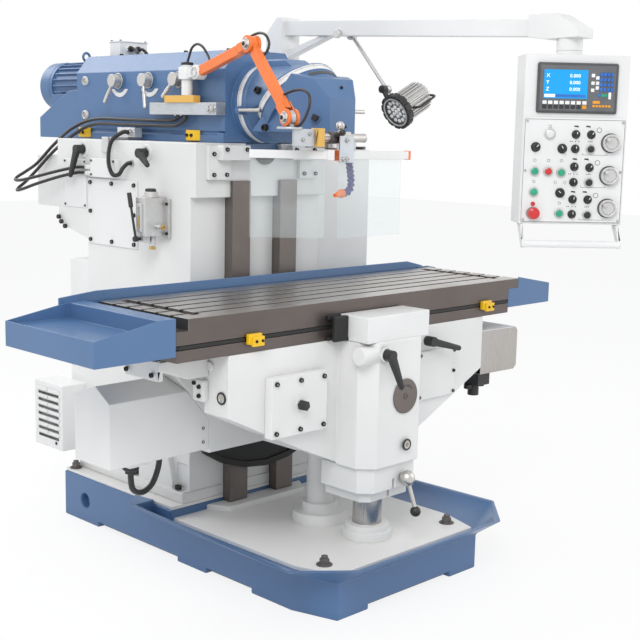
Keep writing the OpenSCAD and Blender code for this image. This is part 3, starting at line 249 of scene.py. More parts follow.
def ground(name):
    look = groundLooks[name]
    f = Finish(name)
    color = look["color"]
    lines = f.noise(14.0, 4.0, look["lines"], 0.7)
    stains = f.span(f.noise(4.5, 4.0), 0.4, 0.72)
    tone = f.blend(f.span(lines, 0.3, 0.7), shade(color, 0.84), shade(color, 1.14))
    oil = tuple(c * k for c, k in zip(color[:3], (0.82, 0.74, 0.66))) + (1.0,)
    tone = f.blend(0.45 * stains, tone, oil)
    # painted shade: ambient occlusion darkens corners and recesses
    unoccluded = f.corners(0.02)
    tone = f.blend(0.7 * (1 - unoccluded), tone, shade(color, 0.3))
    # paler edges: partly painted highlight, partly worn metal
    soft, edge = f.edges(0.0012)
    tone = f.blend(0.35 * edge, tone, shade(color, 1.5))
    rough = look["rough"] + 0.16 * (lines - 0.5) + 0.12 * stains
    normal = f.bump(lines, 0.0004, 0.3, soft)
    return f.surface(base_color=tone, roughness=rough, metallic=look["metal"], normal=normal)


# Moulded plastic, rubber and lacquer: fine grain, and paler edges that are partly painted highlight and
# partly wear
mouldLooks = looks(("grain", "rough", "depth"), {
    "blackPlastic": (0.02, 0.02, 0.021, 700, 0.42, 0.0002),
    "blackRubber": (0.016, 0.016, 0.016, 320, 0.62, 0.0005),
    "cableSheath": (0.022, 0.021, 0.021, 500, 0.36, 0.0002),
    "bezelGrey": (0.075, 0.078, 0.08, 800, 0.4, 0.0002),
    "panelGrey": (0.13, 0.135, 0.14, 800, 0.45, 0.0001),
    "whitePlastic": (0.80, 0.80, 0.79, 700, 0.3, 0.0001),
    "greenPlastic": (0.02, 0.36, 0.20, 700, 0.28, 0.0001),
    "redPlastic": (0.62, 0.035, 0.035, 700, 0.26, 0.0001),
    "orangePlastic": (0.90, 0.20, 0.04, 700, 0.34, 0.0001),
    "keyBlue": (0.03, 0.16, 0.55, 700, 0.4, 0.0001),
    "keyOrange": (0.85, 0.35, 0.03, 700, 0.4, 0.0001),
    "hoseBlue": (0.03, 0.022, 0.21, 500, 0.34, 0.0002),
    # black for print, marks and black keys, also painted shade inside the table's T-slots
    "inkBlack": (0.03, 0.03, 0.03, 900, 0.6, 0.0001),
    "scaleWhite": (0.84, 0.84, 0.82, 900, 0.4, 0.0001),
})


def mould(name):
    look = mouldLooks[name]
    f = Finish(name)
    color = look["color"]
    cloud = f.noise(22.0, 4.0)
    tone = f.blend(f.span(cloud, 0.3, 0.7), shade(color, 0.9), shade(color, 1.12))
    # paler edges: partly painted highlight, partly scuffed plastic
    soft, edge = f.edges(0.001)
    tone = f.blend(0.4 * edge, tone, shade(tuple(c + 0.02 for c in color[:3]), 1.35))
    grain = f.noise(look["grain"], 2.0)
    rough = look["rough"] + 0.12 * (cloud - 0.5)
    return f.surface(base_color=tone, roughness=rough, normal=f.bump(grain, look["depth"], 0.4, soft))


# Clear sheet with faint wipe marks, mostly see-through
def clearSheet(name, tint=rgb(0.86, 0.90, 0.91), veil=0.10):
    f = Finish(name)
    smear = f.span(f.noise(5.0, 5.0, (1, 1, 3)), 0.45, 0.75)
    gloss = f.node("BsdfPrincipled", {
        "Base Color": tint, "Roughness": 0.06 + 0.1 * smear, "Specular IOR Level": 0.4})
    through = f.node("BsdfTransparent", {"Color": rgb(0.97, 0.985, 0.985)})
    mixed = f.node("MixShader", {0: veil + 0.05 * smear, 1: through, 2: gloss})
    return f.finish(mixed)


def glowScreen(name, color, strength):
    f = Finish(name)
    rows = f.noise(30.0, 1.0, (1, 1, 60))
    tone = f.blend(f.span(rows, 0.3, 0.7), shade(color, 0.94), shade(color, 1.05))
    return f.surface(base_color=tone, roughness=0.18, emission_color=tone, emission_strength=strength)


finishes = {name: paint(name) for name in paintLooks}
finishes.update({name: ground(name) for name in groundLooks})
finishes.update({name: mould(name) for name in mouldLooks})
finishes["clearPane"] = clearSheet("clearPane")
finishes["sightGlass"] = clearSheet("sightGlass", rgb(0.75, 0.72, 0.62), 0.35)
finishes["screenBlue"] = glowScreen("screenBlue", rgb(0.0, 0.27, 0.62), 0.42)
finishes["screenWhite"] = glowScreen("screenWhite", rgb(0.9, 0.95, 1.0), 0.5)
print("finishes:", len(finishes))


# Stage and light

stage = {"floorSize": 40.0, "floorGlow": 0.84, "sky": 0.70, "lamps": {
    "keyLamp": ((-3.6, -3.0, 4.6), (0, -0.2, 1.0), 140, 2.6),
    "fillLamp": ((3.8, -3.4, 3.0), (0.2, -0.4, 1.1), 46, 4.0),
    "backLamp": ((-1.0, 3.6, 4.4), (0, 0.3, 1.2), 74, 3.0)}}


def layFloor():
    f = Finish("paleFloor")
    tone = f.blend(f.noise(0.8, 2.0), rgb(0.93, 0.93, 0.93), rgb(0.95, 0.95, 0.95))
    pale = f.node("BsdfDiffuse", {"Color": tone})
    white = f.node("Emission", {"Color": rgb(1, 1, 1), "Strength": 1.0})
    mixed = f.node("MixShader", {0: stage["floorGlow"] * f.seenRays(), 1: pale, 2: white})
    mesh = bpy.data.meshes.new("floor")
    half = stage["floorSize"] / 2
    rim = [(-half, -half, 0), (half, -half, 0), (half, half, 0), (-half, half, 0)]
    mesh.from_pydata(rim, [], [(0, 1, 2, 3)])
    mesh.materials.append(f.finish(mixed))
    show("floor", mesh)


def setWorld():
    world = bpy.data.worlds.new("studio")
    bpy.context.scene.world = world
    world.use_nodes = True
    w = Nodes(world.node_tree, "ShaderNode")
    w.tree.nodes.clear()
    sky = w.node("Background", {"Color": rgb(0.95, 0.97, 1.0), "Strength": stage["sky"]})
    back = w.node("Background", {"Color": rgb(1, 1, 1), "Strength": 1.0})
    mixed = w.node("MixShader", {0: w.seenRays(), 1: sky, 2: back})
    w.node("OutputWorld", {"Surface": mixed})


def areaLamp(name, place, aim, power, size):
    data = bpy.data.lights.new(name, "AREA")
    data.energy, data.size = power, size
    lamp = show(name, data)
    lamp.location = place
    lamp.rotation_euler = (Vector(aim) - Vector(place)).to_track_quat("-Z", "Y").to_euler()


layFloor()
setWorld()
for name, look in stage["lamps"].items():
    areaLamp(name, *look)
print("stage and light set")


# Mesh helpers, all in millimetres of the shared frame

bodyOf = {n: b for b, ns in frame["record"]["behaviour"]["bodies"].items() for n in ns}


def camel(node):
    first, *rest = node.split("_")
    return first + "".join(word.title() for word in rest)


creaseAngle = math.radians(35)
hullFlat = 0.01


def smoothByAngle(mesh):
    mesh.polygons.foreach_set("use_smooth", [True] * len(mesh.polygons))
    mesh.set_sharp_from_angle(angle=creaseAngle)


def link(name, mesh, materials, body, replaced=()):
    piece = show(name, mesh)
    slots = [0] * len(mesh.polygons)
    mesh.polygons.foreach_get("material_index", slots)
    mesh.materials.clear()
    for material in materials:
        mesh.materials.append(finishes[material])
    mesh.polygons.foreach_set("material_index", [min(k, len(materials) - 1) for k in slots])
    if body:
        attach(piece, body)
    if replaced:
        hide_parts(*replaced)
    return piece


def evaluated(data, setModifier=None):
    holder = show("holder", data)
    if setModifier:
        setModifier(holder)
    graph = bpy.context.evaluated_depsgraph_get()
    made = bpy.data.meshes.new_from_object(holder.evaluated_get(graph), depsgraph=graph)
    bpy.data.objects.remove(holder)
    return made


def smoothLine(points, steps=8):
    points = [Vector(p) for p in points]
    last = len(points) - 1
    line = []
    for i in range(last):
        a, b, c, d = points[max(i - 1, 0)], points[i], points[i + 1], points[min(i + 2, last)]
        for k in range(steps):
            t = k / steps
            line.append(0.5 * (2 * b + (c - a) * t + (2 * a - 5 * b + 4 * c - d) * t ** 2
                               + (3 * b - a - 3 * c + d) * t ** 3))
    return line + [points[last]]


def around(middle, x, y, radius, sides, knurl=0.0):
    points = []
    for k in range(sides):
        angle = 2 * math.pi * k / sides
        reach = radius * (1 - knurl * (k % 2))
        points.append(middle + reach * (math.cos(angle) * x + math.sin(angle) * y))
    return points


class Shape:
    def __init__(self, at=None):
        self.at = at or Matrix()
        self.materials, self.points, self.faces, self.slots = [], [], [], []

    def add(self, points, faces, material):
        if material not in self.materials:
            self.materials.append(material)
        first = len(self.points)
        self.points += [self.at @ Vector(p) for p in points]
        self.faces += [[first + k for k in face] for face in faces]
        self.slots += [self.materials.index(material)] * len(faces)

    # quads between rows of points that close on themselves, with both ends capped
    def skin(self, rows, material):
        count, last = len(rows[0]), len(rows) - 1
        faces = []
        for i in range(last):
            for k in range(count):
                a, b = i * count + k, i * count + (k + 1) % count
                faces.append([a, b, b + count, a + count])
        faces += [list(range(count))[::-1], [last * count + k for k in range(count)]]
        self.add([point for row in rows for point in row], faces, material)

    # profile of radius and height turned round an axis
    def lathe(self, place, axis, profile, material, sides=32, knurl=0.0):
        z = Vector(axis).normalized()
        x = z.orthogonal().normalized()
        y = z.cross(x)
        points, rows = [], []
        for radius, height in profile:
            base = Vector(place) + z * height
            count = 1 if radius < 1e-4 else sides
            rows.append((len(points), count))
            points += around(base, x, y, radius, sides, knurl)[:count]
        faces = []
        for (a, na), (b, nb) in zip(rows, rows[1:]):
            for k in range(sides):
                j = (k + 1) % sides
                loop = [a + k % na, a + j % na, b + j % nb, b + k % nb]
                faces.append(list(dict.fromkeys(loop)))
        self.add(points, faces, material)

    def knob(self, place, axis, radius, height, material, sides=32, round=0.25, knurl=0.0):
        r, h, e = radius, height, min(round * radius, 0.45 * height)
        profile = [(0, 0), (r, 0), (r, h - e), (r - 0.3 * e, h - 0.3 * e), (r - e, h), (0, h)]
        self.lathe(place, axis, profile, material, sides, knurl)

    def ring(self, place, axis, inner, outer, height, material, sides=32, edge=1.0):
        e = min(edge, 0.4 * height, 0.4 * (outer - inner))
        profile = [(inner, 0), (outer, 0), (outer, height - e), (outer - e, height), (inner + e, height),
                   (inner, height - e), (inner, 0)]
        self.lathe(place, axis, profile, material, sides)

    def ball(self, place, radius, material, sides=28):
        steps = sides // 2
        profile = [(radius * math.sin(math.pi * k / steps), -radius * math.cos(math.pi * k / steps))
                   for k in range(steps + 1)]
        self.lathe(place, (0, 0, 1), profile, material, sides)

    def hull(self, points, material):
        bm = bmesh.new()
        for point in points:
            bm.verts.new(point)
        made = bmesh.ops.convex_hull(bm, input=bm.verts)
        spare = made["geom_interior"] + made["geom_unused"]
        loose = list({g for g in spare if isinstance(g, bmesh.types.BMVert)})
        bmesh.ops.delete(bm, geom=loose, context="VERTS")
        bmesh.ops.dissolve_limit(bm, angle_limit=hullFlat, verts=bm.verts, edges=bm.edges)
        bmesh.ops.recalc_face_normals(bm, faces=bm.faces)
        bm.verts.index_update()
        self.add([v.co.copy() for v in bm.verts], [[v.index for v in f.verts] for f in bm.faces], material)
        bm.free()

    def box(self, low, high, material, chamfer=1.5):
        spans = [(min(a, b), max(a, b)) for a, b in zip(low, high)]
        c = min([chamfer] + [0.4 * (b - a) for a, b in spans])
        self.hull([[b - c * (k != free) if corner >> k & 1 else a + c * (k != free)
                    for k, (a, b) in enumerate(spans)] for corner in range(8) for free in range(3)], material)

    def tube(self, line, radius, material, sides=12):
        line = [Vector(p) for p in line]
        last = len(line) - 1
        radii = radius if isinstance(radius, list) else [radius] * len(line)
        ways = [(line[min(i + 1, last)] - line[max(i - 1, 0)]).normalized() for i in range(last + 1)]
        x = ways[0].orthogonal().normalized()
        rows = []
        for spot, way, reach in zip(line, ways, radii):
            x = (x - way * x.dot(way)).normalized()
            rows.append(around(spot, x, way.cross(x), reach, sides))
        self.skin(rows, material)

    # curved strip on a cylinder round the local Z axis, angles in degrees
    def band(self, radius, thick, low, high, start, end, material, sides=96):
        steps = max(2, int(sides * (end - start) / 360))
        section = ((radius, high), (radius + thick, high), (radius + thick, low), (radius, low))
        turns = [math.radians(start + (end - start) * k / steps) for k in range(steps + 1)]
        self.skin([[(r * math.cos(t), r * math.sin(t), z) for r, z in section] for t in turns], material)

    def letters(self, text, size, place, material):
        curve = bpy.data.curves.new("letters", "FONT")
        curve.body, curve.size, curve.extrude, curve.resolution_u = text, size, 0.15, 2
        mesh = evaluated(curve)
        stand = Matrix.Translation(place) @ spin(90, "X")
        points = [stand @ v.co for v in mesh.vertices]
        self.add(points, [list(p.vertices) for p in mesh.polygons], material)
        bpy.data.meshes.remove(mesh)

    def piece(self, name, body, slot, replaced=()):
        mesh = bpy.data.meshes.new(name)
        mesh.from_pydata([p * mm for p in self.points], [], self.faces)
        mesh.polygons.foreach_set("material_index", self.slots)
        smoothByAngle(mesh)
        mesh.update()
        return link(name, mesh, self.materials, body, replaced)


# Geometry node trees for what repeats

class Grove(Nodes):
    def __init__(self, name, inputs):
        super().__init__(bpy.data.node_groups.new(name, "GeometryNodeTree"), "GeometryNode")
        face = self.tree.interface
        face.new_socket("Geometry", in_out="OUTPUT", socket_type="NodeSocketGeometry")
        for key, kind in {"Geometry": "Geometry", **inputs, "Material": "Material"}.items():
            face.new_socket(key, in_out="INPUT", socket_type="NodeSocket" + kind)
        self.entry = self.tree.nodes.new("NodeGroupInput")
        self.exit = self.tree.nodes.new("NodeGroupOutput")

    def __getitem__(self, key):
        return Sock(self.tree, self.entry.outputs[key])

    def join(self, *parts):
        made = self.tree.nodes.new("GeometryNodeJoinGeometry")
        for part in parts:
            self.tree.links.new(part.socket, made.inputs[0])
        return Sock(self.tree, made.outputs[0])

    def close(self, instances):
        solid = self.node("RealizeInstances", {"Geometry": instances})
        painted = self.node("SetMaterial", {"Geometry": solid, "Material": self["Material"]})
        self.tree.links.new(painted.socket, self.exit.inputs[0])
        return self.tree


# Socket head screws on points that carry an axis and a size
def screwTree():
    g = Grove("screwField", {"Head": "Float", "Socket": "Float"})
    head = g.node("MeshCone", {
        "Vertices": 18, "Radius Top": 0.9, "Radius Bottom": 1.0, "Depth": g["Head"]})
    key = g.node("MeshCylinder", {"Vertices": 6, "Radius": g["Socket"], "Depth": 0.9})
    up = g.node("ShaderNodeCombineXYZ", {"Z": g["Head"]})
    key = g.node("Transform", {"Geometry": key, "Translation": up})
    cut = g.node("MeshBoolean", {"Mesh 1": head, "Mesh 2": key}, operation="DIFFERENCE")
    axis = g.node("InputNamedAttribute", {"Name": "axis"}, data_type="FLOAT_VECTOR")
    size = g.node("InputNamedAttribute", {"Name": "size"}, data_type="FLOAT")
    turn = g.node("FunctionNodeAlignRotationToVector", {"Vector": axis}, axis="Z")
    return g.close(g.node("InstanceOnPoints", {
        "Points": g["Geometry"], "Instance": cut, "Rotation": turn, "Scale": size}))


# Ticks on a circle round Z, every so many of them longer
def tickTree():
    g = Grove("tickRing", {"Count": "Int", "Start": "Float", "Step": "Float", "Radius": "Float",
                           "Tick": "Vector", "Long": "Vector", "Every": "Int"})
    line = g.node("MeshLine", {"Count": g["Count"]})
    index = g.node("InputIndex")
    angle = g["Start"] + index * g["Step"]
    spot = g.node("ShaderNodeCombineXYZ", {
        "X": angle.math("COSINE", angle) * g["Radius"],
        "Y": angle.math("SINE", angle) * g["Radius"]})
    line = g.node("SetPosition", {"Geometry": line, "Position": spot})
    tick = g.node("MeshCube", {"Size": g["Tick"]})
    big = index.math("LESS_THAN", index.math("MODULO", index, g["Every"]), 0.5)
    scale = g.node("ShaderNodeMix", {0: big, 4: (1, 1, 1), 5: g["Long"]}, 1, data_type="VECTOR")
    turn = g.node("ShaderNodeCombineXYZ", {"Z": angle})
    return g.close(g.node("InstanceOnPoints", {
        "Points": line, "Instance": tick, "Rotation": turn, "Scale": scale}))


# Keys or louvres on a flat grid in X and Z, standing out along -Y
def gridTree():
    g = Grove("gridField", {"Columns": "Int", "Rows": "Int", "Width": "Float", "Height": "Float",
                            "Sides": "Int", "Turn": "Float", "Cell": "Vector"})
    grid = g.node("MeshGrid", {
        "Size X": g["Width"], "Size Y": g["Height"], "Vertices X": g["Columns"],
        "Vertices Y": g["Rows"]})
    cell = g.node("MeshCone", {
        "Vertices": g["Sides"], "Radius Top": 0.82, "Radius Bottom": 1.0, "Depth": 1.0})
    tilt = g.node("ShaderNodeCombineXYZ", {"Z": g["Turn"]})
    cell = g.node("Transform", {"Geometry": cell, "Rotation": tilt})
    cells = g.node("InstanceOnPoints", {"Points": grid, "Instance": cell, "Scale": g["Cell"]})
    return g.close(g.node("Transform", {"Geometry": cells, "Rotation": (math.radians(90), 0, 0)}))


# Hose with ribs along a path of mesh edges
def ribTree():
    g = Grove("ribbedHose", {"Pitch": "Float", "Core": "Float", "Rib": "Float", "Sides": "Int"})
    path = g.node("MeshToCurve", {"Mesh": g["Geometry"]})
    circle = g.node("CurvePrimitiveCircle", {"Resolution": g["Sides"], "Radius": g["Core"]}, mode="RADIUS")
    core = g.node("CurveToMesh", {"Curve": path, "Profile Curve": circle, "Fill Caps": True})
    stops = g.node("ResampleCurve", {"Curve": path, "Length": g["Pitch"]}, mode="LENGTH")
    half = 0.36 * g["Pitch"]
    slope = {"Vertices": g["Sides"], "Radius Bottom": g["Rib"], "Depth": half}
    slope["Radius Top"] = 0.5 * (g["Rib"] + g["Core"])
    upper = g.node("MeshCone", slope)
    lower = g.node("Transform", {"Geometry": upper, "Scale": (1, 1, -1)})
    lower = g.node("FlipFaces", {"Mesh": lower})
    tangent = g.node("InputTangent")
    turn = g.node("FunctionNodeAlignRotationToVector", {"Vector": tangent}, axis="Z")
    ribs = g.node("InstanceOnPoints", {
        "Points": stops, "Instance": g.join(upper, lower), "Rotation": turn})
    return g.close(g.join(core, ribs))


trees = {"screw": screwTree(), "tick": tickTree(), "grid": gridTree(), "rib": ribTree()}


def grown(name, tree, mesh, values, material, body, at=None, replaced=()):
    values = dict(values, Material=finishes[material])

    def setModifier(holder):
        modifier = holder.modifiers.new("grove", "NODES")
        modifier.node_group = trees[tree]
        for item in trees[tree].interface.items_tree:
            if item.in_out == "INPUT" and item.name in values:
                modifier[item.identifier] = values[item.name]

    made = evaluated(mesh, setModifier)
    if at is not None:
        made.transform(Matrix.Scale(mm, 4) @ at)
    made.name = name
    smoothByAngle(made)
    return link(name, made, [material], body, replaced)


def field(tree, name, at, values, material, body):
    return grown(name, tree, bpy.data.meshes.new(name), values, material, body, at)


def screws(name, rows, material, body, head=0.9, socket=0.52):
    places, axes, sizes = zip(*rows)
    mesh = bpy.data.meshes.new(name)
    mesh.from_pydata([Vector(place) * mm for place in places], [], [])
    layer = mesh.attributes.new("axis", "FLOAT_VECTOR", "POINT")
    layer.data.foreach_set("vector", [c for axis in axes for c in Vector(axis).normalized()])
    layer = mesh.attributes.new("size", "FLOAT", "POINT")
    layer.data.foreach_set("value", [size * mm for size in sizes])
    return grown(name, "screw", mesh, {"Head": head, "Socket": socket}, material, body)


def corners(a0, a1, b0, b1, inset):
    a0, a1, b0, b1 = a0 + inset, a1 - inset, b0 + inset, b1 - inset
    return [(a0, b0), (a1, b0), (a1, b1), (a0, b1)]


def basis(place, x, y, z):
    return Matrix.Translation(place) @ Matrix((x, y, z)).transposed().to_4x4()


def spin(degrees, axis):
    return Matrix.Rotation(math.radians(degrees), 4, axis)


print("helpers and", len(trees), "node trees ready")


# Cords first: the cable pair, the loops on the guard arm and the ribbed hoses

cablePair = {"radius": 7.0, "routes": {
    "cableUpper": [
        (-363, 745.3, 1524), (-363, 775, 1524), (-370, 810, 1522), (-396, 900, 1504), (-438, 1030, 1472),
        (-452, 1110, 1456), (-444, 1180, 1452), (-414, 1216, 1464), (-384, 1190, 1490), (-370, 1116, 1530),
        (-332, 1042, 1612), (-262, 1004, 1684), (-226, 880, 1726), (-225, 620, 1726), (-225, 380, 1724),
        (-222, 330, 1728), (-217, 296, 1741), (-216, 284, 1746)],
    "cableLower": [
        (-363, 745.3, 1500), (-363, 775, 1500), (-372, 806, 1498), (-404, 892, 1478), (-448, 1000, 1444),
        (-470, 1070, 1420), (-466, 1130, 1410), (-440, 1160, 1420), (-410, 1148, 1448), (-388, 1090, 1502),
        (-338, 1026, 1588), (-258, 994, 1658), (-226, 880, 1704), (-225, 620, 1705), (-225, 350, 1704),
        (-222, 300, 1710), (-217, 266, 1727), (-216, 254, 1744)]}}


def layCord(name, line, radius, body=None, blend=None, replaced=()):
    shape = Shape()
    shape.tube(line, radius, "cableSheath", 14)
    piece = shape.piece(name, body, "black_rubber", replaced)
    if blend:
        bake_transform(piece)


for name, route in cablePair["routes"].items():
    across = ("machine", "ram", (-0.35, 0, 1.56), (-0.23, 0, 1.70))
    layCord(name, smoothLine(route), cablePair["radius"], blend=across,
            replaced=("machine_cables",))

armFrame = Matrix.Translation((-230, 234, 0)) @ spin(-98.6, "Z")
armLoops = {"radius": 5.0, "loops": {
    "mastLoop": ("ram", "guard_upper_arm", (8, 0, 1900), (100, 0, 1960), [
        (0, 0, 1948), (4, 6, 1974), (20, 10, 2008), (52, 14, 2022), (92, 16, 2010), (130, 16, 1978),
        (156, 8, 1954), (168, 0, 1944)]),
    "elbowLoop": ("guard_upper_arm", "guard_lower_arm", (410, 0, 2010), (520, 0, 2010), [
        (372, 0, 1999), (386, 12, 2012), (420, 26, 2034), (466, 32, 2044), (512, 30, 2034), (538, 28, 2004),
        (530, 22, 1972), (516, 8, 1956), (510, 0, 1950)]),
    "wristLoop": ("guard_lower_arm", "guard", (700, 0, 1790), (770, 0, 1740), [
        (652, 0, 1808), (664, 10, 1820), (700, 24, 1834), (748, 30, 1836), (790, 28, 1818), (802, 22, 1782),
        (790, 14, 1742), (772, 8, 1718), (748, 4, 1708)])}}
for name, (first, second, start, end, route) in armLoops["loops"].items():
    across = (first, second, armFrame @ Vector(start) * mm, armFrame @ Vector(end) * mm)
    line = smoothLine([armFrame @ Vector(p) for p in route])
    layCord(name, line, armLoops["radius"], blend=across)

hoseRoutes = {
    "switchHose": [
        (-280.6, 556, 1673), (-312, 556, 1673), (-370, 552, 1636), (-394, 540, 1560), (-396, 512, 1506),
        (-394, 470, 1504), (-390, 444, 1532), (-372, 436, 1550), (-350.3, 436, 1550)],
    "coolantHose": [
        (-52, -494, 1614.7), (-52, -494, 1582), (-44, -492, 1556), (-34, -488, 1524), (-32, -486, 1496),
        (-46, -486, 1476), (-80, -486, 1470)]}


def ribbedHose(name, values, material, body, node):
    line = smoothLine(hoseRoutes[name], 10)
    mesh = bpy.data.meshes.new(name)
    mesh.from_pydata([p * mm for p in line], [(k, k + 1) for k in range(len(line) - 1)], [])
    piece = grown(name, "rib", mesh, values, material, body, replaced=(node,))
    return piece, [p * mm for p in line]


hose, path = ribbedHose("switchHose", {"Pitch": 0.0052, "Core": 0.0072, "Rib": 0.009, "Sides": 16},
                        "cableSheath", "machine", "switch_hose")
ribbedHose("coolantHose", {"Pitch": 0.016, "Core": 0.009, "Rib": 0.015, "Sides": 20},
           "hoseBlue", "guard", "coolant_hose")
print("cords and hoses laid")


# CAD nodes with their edges rounded, by finish and with the width of the rounding in millimetres

roundedNodes = {
    "blueCasting": {"base_casting": 6.0, "ram": 3.0, "spindle_head": 3.0, "ram_motor": 1.6},
    "whiteCasting": {"column": 4.0, "knee": 4.0, "knee_covers": 3.0, "support_clamp": 4.0,
        "screw_tube": 2.5},
    "whiteFloorPaint": {"base_deck": 2.0},
    "whiteSheet": {"column_covers": 2.0, "rear_boxes": 3.0, "electric_cabinet": 2.5, "motor_cover": 3.0,
        "front_cover": 3.5, "pendant_box": 1.5, "pendant_arm": 1.5, "pendant_post": 3.0, "ram_trim": 1.2},
    "brushedSheet": {"x_drive_cover": 2.0},
    "blueSheet": {"tray_left": 2.0, "tray_right": 2.0, "splash_guard": 2.0},
    "tableIron": {"table": 1.6},
    "wayIron": {"column_ways": 1.6},
    "orangePaint": {"guard_upper_arm": 2.5, "guard_lower_arm": 2.5},
    "zincTube": {"guard_frame": 1.5, "guard_bracket": 2.0},
    "yellowPaint": {"table_dogs": 2.5, "ram_dogs": 2.5},
    "castAlloy": {"lube_pump": 1.2, "limit_switch": 2.0},
    "blackPlastic": {"lube_handle": 1.5, "ram_clamp_rear": 2.0, "ram_clamp_front": 2.0,
        "knee_lever_left": 2.0, "knee_lever_right": 2.0},
    "wornSteel": {"anchor_bolts": 1.5},
    "turnedSteel": {"support_post": 1.5, "vertical_spindle": 1.5},
    "blackRubber": {"screw_cap": 2.0, "way_apron": 2.0},
    "satinAlloy": {"speed_lever_a": 2.0, "speed_lever_b": 2.0, "speed_lever_c": 2.0, "lamp_arm": 1.5,
        "lamp_head": 1.5},
    "brightSteel": {"clamp_lever": 1.5},
}
lampFrame = Matrix.Translation((501, -237, 1784)) @ (spin(-4, "Z") @ spin(62, "Y"))
lampBack = lampFrame.inverted()
armBack = armFrame.inverted()

slots = {"middle": -325, "pitch": 80, "half": 16, "span": (-500, -150)}


def inSlot(y):
    low, high = slots["span"]
    half = slots["pitch"] / 2
    return low < y < high and abs((y - slots["middle"] + half) % slots["pitch"] - half) < slots["half"]


# second finishes by place, each with a test on a face's middle in millimetres
finishZones = {
    "guard_bracket": [
        ("ochrePaint", lambda p: 1795.5 < p.z < 1824.5), ("whiteSheet", lambda p: p.z >= 1824.5)],
    "guard_upper_arm": [("whiteSheet", lambda p: (armBack @ p).x < 119 and (armBack @ p).z < 1942)],
    "guard_frame": [
        ("orangePlastic", lambda p: p.z < 1633 and p.x > 235),
        ("whiteSheet", lambda p: p.z < 1631 and (not -150 < p.x < -74 or p.y > -536)),
        ("ochrePaint", lambda p: -238.5 < p.x < -205.5 and p.z < 1707),
        ("brightSteel", lambda p: p.x > -205.5 and p.z > 1650)],
    "support_post": [("whiteCasting", lambda p: p.z < 222.5)],
    "x_drive_cover": [("whiteSheet", lambda p: p.z > 880), ("blackPlastic", lambda p: p.z < 699)],
    "knee_covers": [
        ("plateSteel", lambda p: p.y < -731 and p.z > 660), ("brightSteel", lambda p: p.y < -731)],
    "table": [
        # painted shade: the insides of the T-slots are coloured flat black
        ("inkBlack", lambda p: 1051.5 < p.z < 1089 and inSlot(p.y)),
        ("tableTop", lambda p: p.z > 1090), ("tableFlank", lambda p: p.z < 1051.5)],
    "lamp_head": [("blackPlastic", lambda p: (lampBack @ p).z < 14.5 or p.x < 478)],
    "clamp_lever": [("blackPlastic", lambda p: p.z < 318)],
    "rear_boxes": [("blackPlastic", lambda p: p.x < -352 and 1240 < p.z < 1340)],
}

rounding = {"merge": 2e-5, "flat": math.radians(0.6), "corner": math.radians(32), "room": 1.3,
            "segments": 2}


def evenNormals(holder):
    even = holder.modifiers.new("even", "WEIGHTED_NORMAL")
    even.mode, even.weight, even.keep_sharp = "FACE_AREA", 60, True


def roundEdges(node, material, width):
    bm = bmesh.new()
    bm.from_mesh(frame["nodes"][node].data)
    bmesh.ops.remove_doubles(bm, verts=bm.verts, dist=rounding["merge"])
    bmesh.ops.dissolve_limit(bm, angle_limit=rounding["flat"], verts=bm.verts, edges=bm.edges)
    width *= mm
    picked = []
    for edge in bm.edges:
        if not edge.is_manifold or edge.calc_face_angle(0) < rounding["corner"]:
            continue
        narrowest = min(face.calc_area() for face in edge.link_faces) / edge.calc_length()
        if narrowest > rounding["room"] * width:
            picked.append(edge)
    bmesh.ops.bevel(bm, geom=picked, offset=width, offset_type="OFFSET", profile=0.5,
                    segments=rounding["segments"], affect="EDGES", clamp_overlap=False)
    rough = bpy.data.meshes.new(camel(node) + "Rough")
    bm.to_mesh(rough)
    bm.free()
    smoothByAngle(rough)
    mesh = evaluated(rough, evenNormals)
    mesh.name = camel(node) + "Body"
    zones = finishZones.get(node, [])
    for polygon in mesh.polygons:
        polygon.material_index = 0
        middle = polygon.center / mm
        for k, (name, test) in enumerate(zones):
            if test(middle):
                polygon.material_index = k + 1
                break
    materials = [material] + [name for name, test in zones]
    link(mesh.name, mesh, materials, bodyOf[node], (node,))


for material, widths in roundedNodes.items():
    for node, width in widths.items():
        roundEdges(node, material, width)
print("rounded nodes:", sum(map(len, roundedNodes.values())))

panes = frame["nodes"]["guard_panes"]
panes.data.materials.clear()
panes.data.materials.append(finishes["clearPane"])


# Screws on the covers, one mesh for each body

left, right = (-1, 0, 0), (1, 0, 0)
ahead, behind = (0, -1, 0), (0, 1, 0)
above, down = (0, 0, 1), (0, 0, -1)


def onSide(x, size, spots):
    return [((x, y, z), left, size) for y, z in spots]


def onFront(y, size, spots):
    return [((x, y, z), ahead, size) for x, z in spots]


columnScrews = onSide(-356, 9, corners(397, 742, 1203, 1480, 18))
columnScrews += onSide(-356, 9, ((570, 1221), (570, 1462), (415, 1341), (724, 1341)))
columnScrews += onSide(-354, 5, corners(760, 930, 1350, 1556, 10))
columnScrews += onSide(-376, 5, corners(520, 699, 1486, 1564, 10))
for side in (-1, 1):
    columnScrews += [((side * x, -20, 1618), ahead, 8.5) for x in (236, 134)]
    columnScrews += [((side * x, 12, z), ahead, 8.5) for x, z in ((210, 1520), (275, 1520), (275, 1600))]
    columnScrews += [((side * 368, y, 262), above, 15) for y in (110, 400, 690)]
columnScrews += onSide(-364, 6, ((190, 1284), (190, 1400)))
columnScrews += [((-240, y, 1693), above, 5) for y in (552, 648)]
screws("columnScrews", columnScrews, "darkBolt", "machine")

kneeScrews = onFront(-613, 9, corners(-530, -260, 636, 852, 20) + [(-395, 656), (-395, 832)])
kneeScrews += onFront(-587, 7, corners(270, 508, 650, 846, 14) + [(494, 748)])
kneeScrews += [((-911, y, 890), left, 9) for y in (-440, -300)]
kneeScrews += onSide(-719, 8, ((-450, 826), (-450, 794), (-424, 836)))
kneeScrews += onFront(-252, 6, ((-540, 560), (-540, 612)))
screws("kneeScrews", kneeScrews, "darkBolt", "knee")

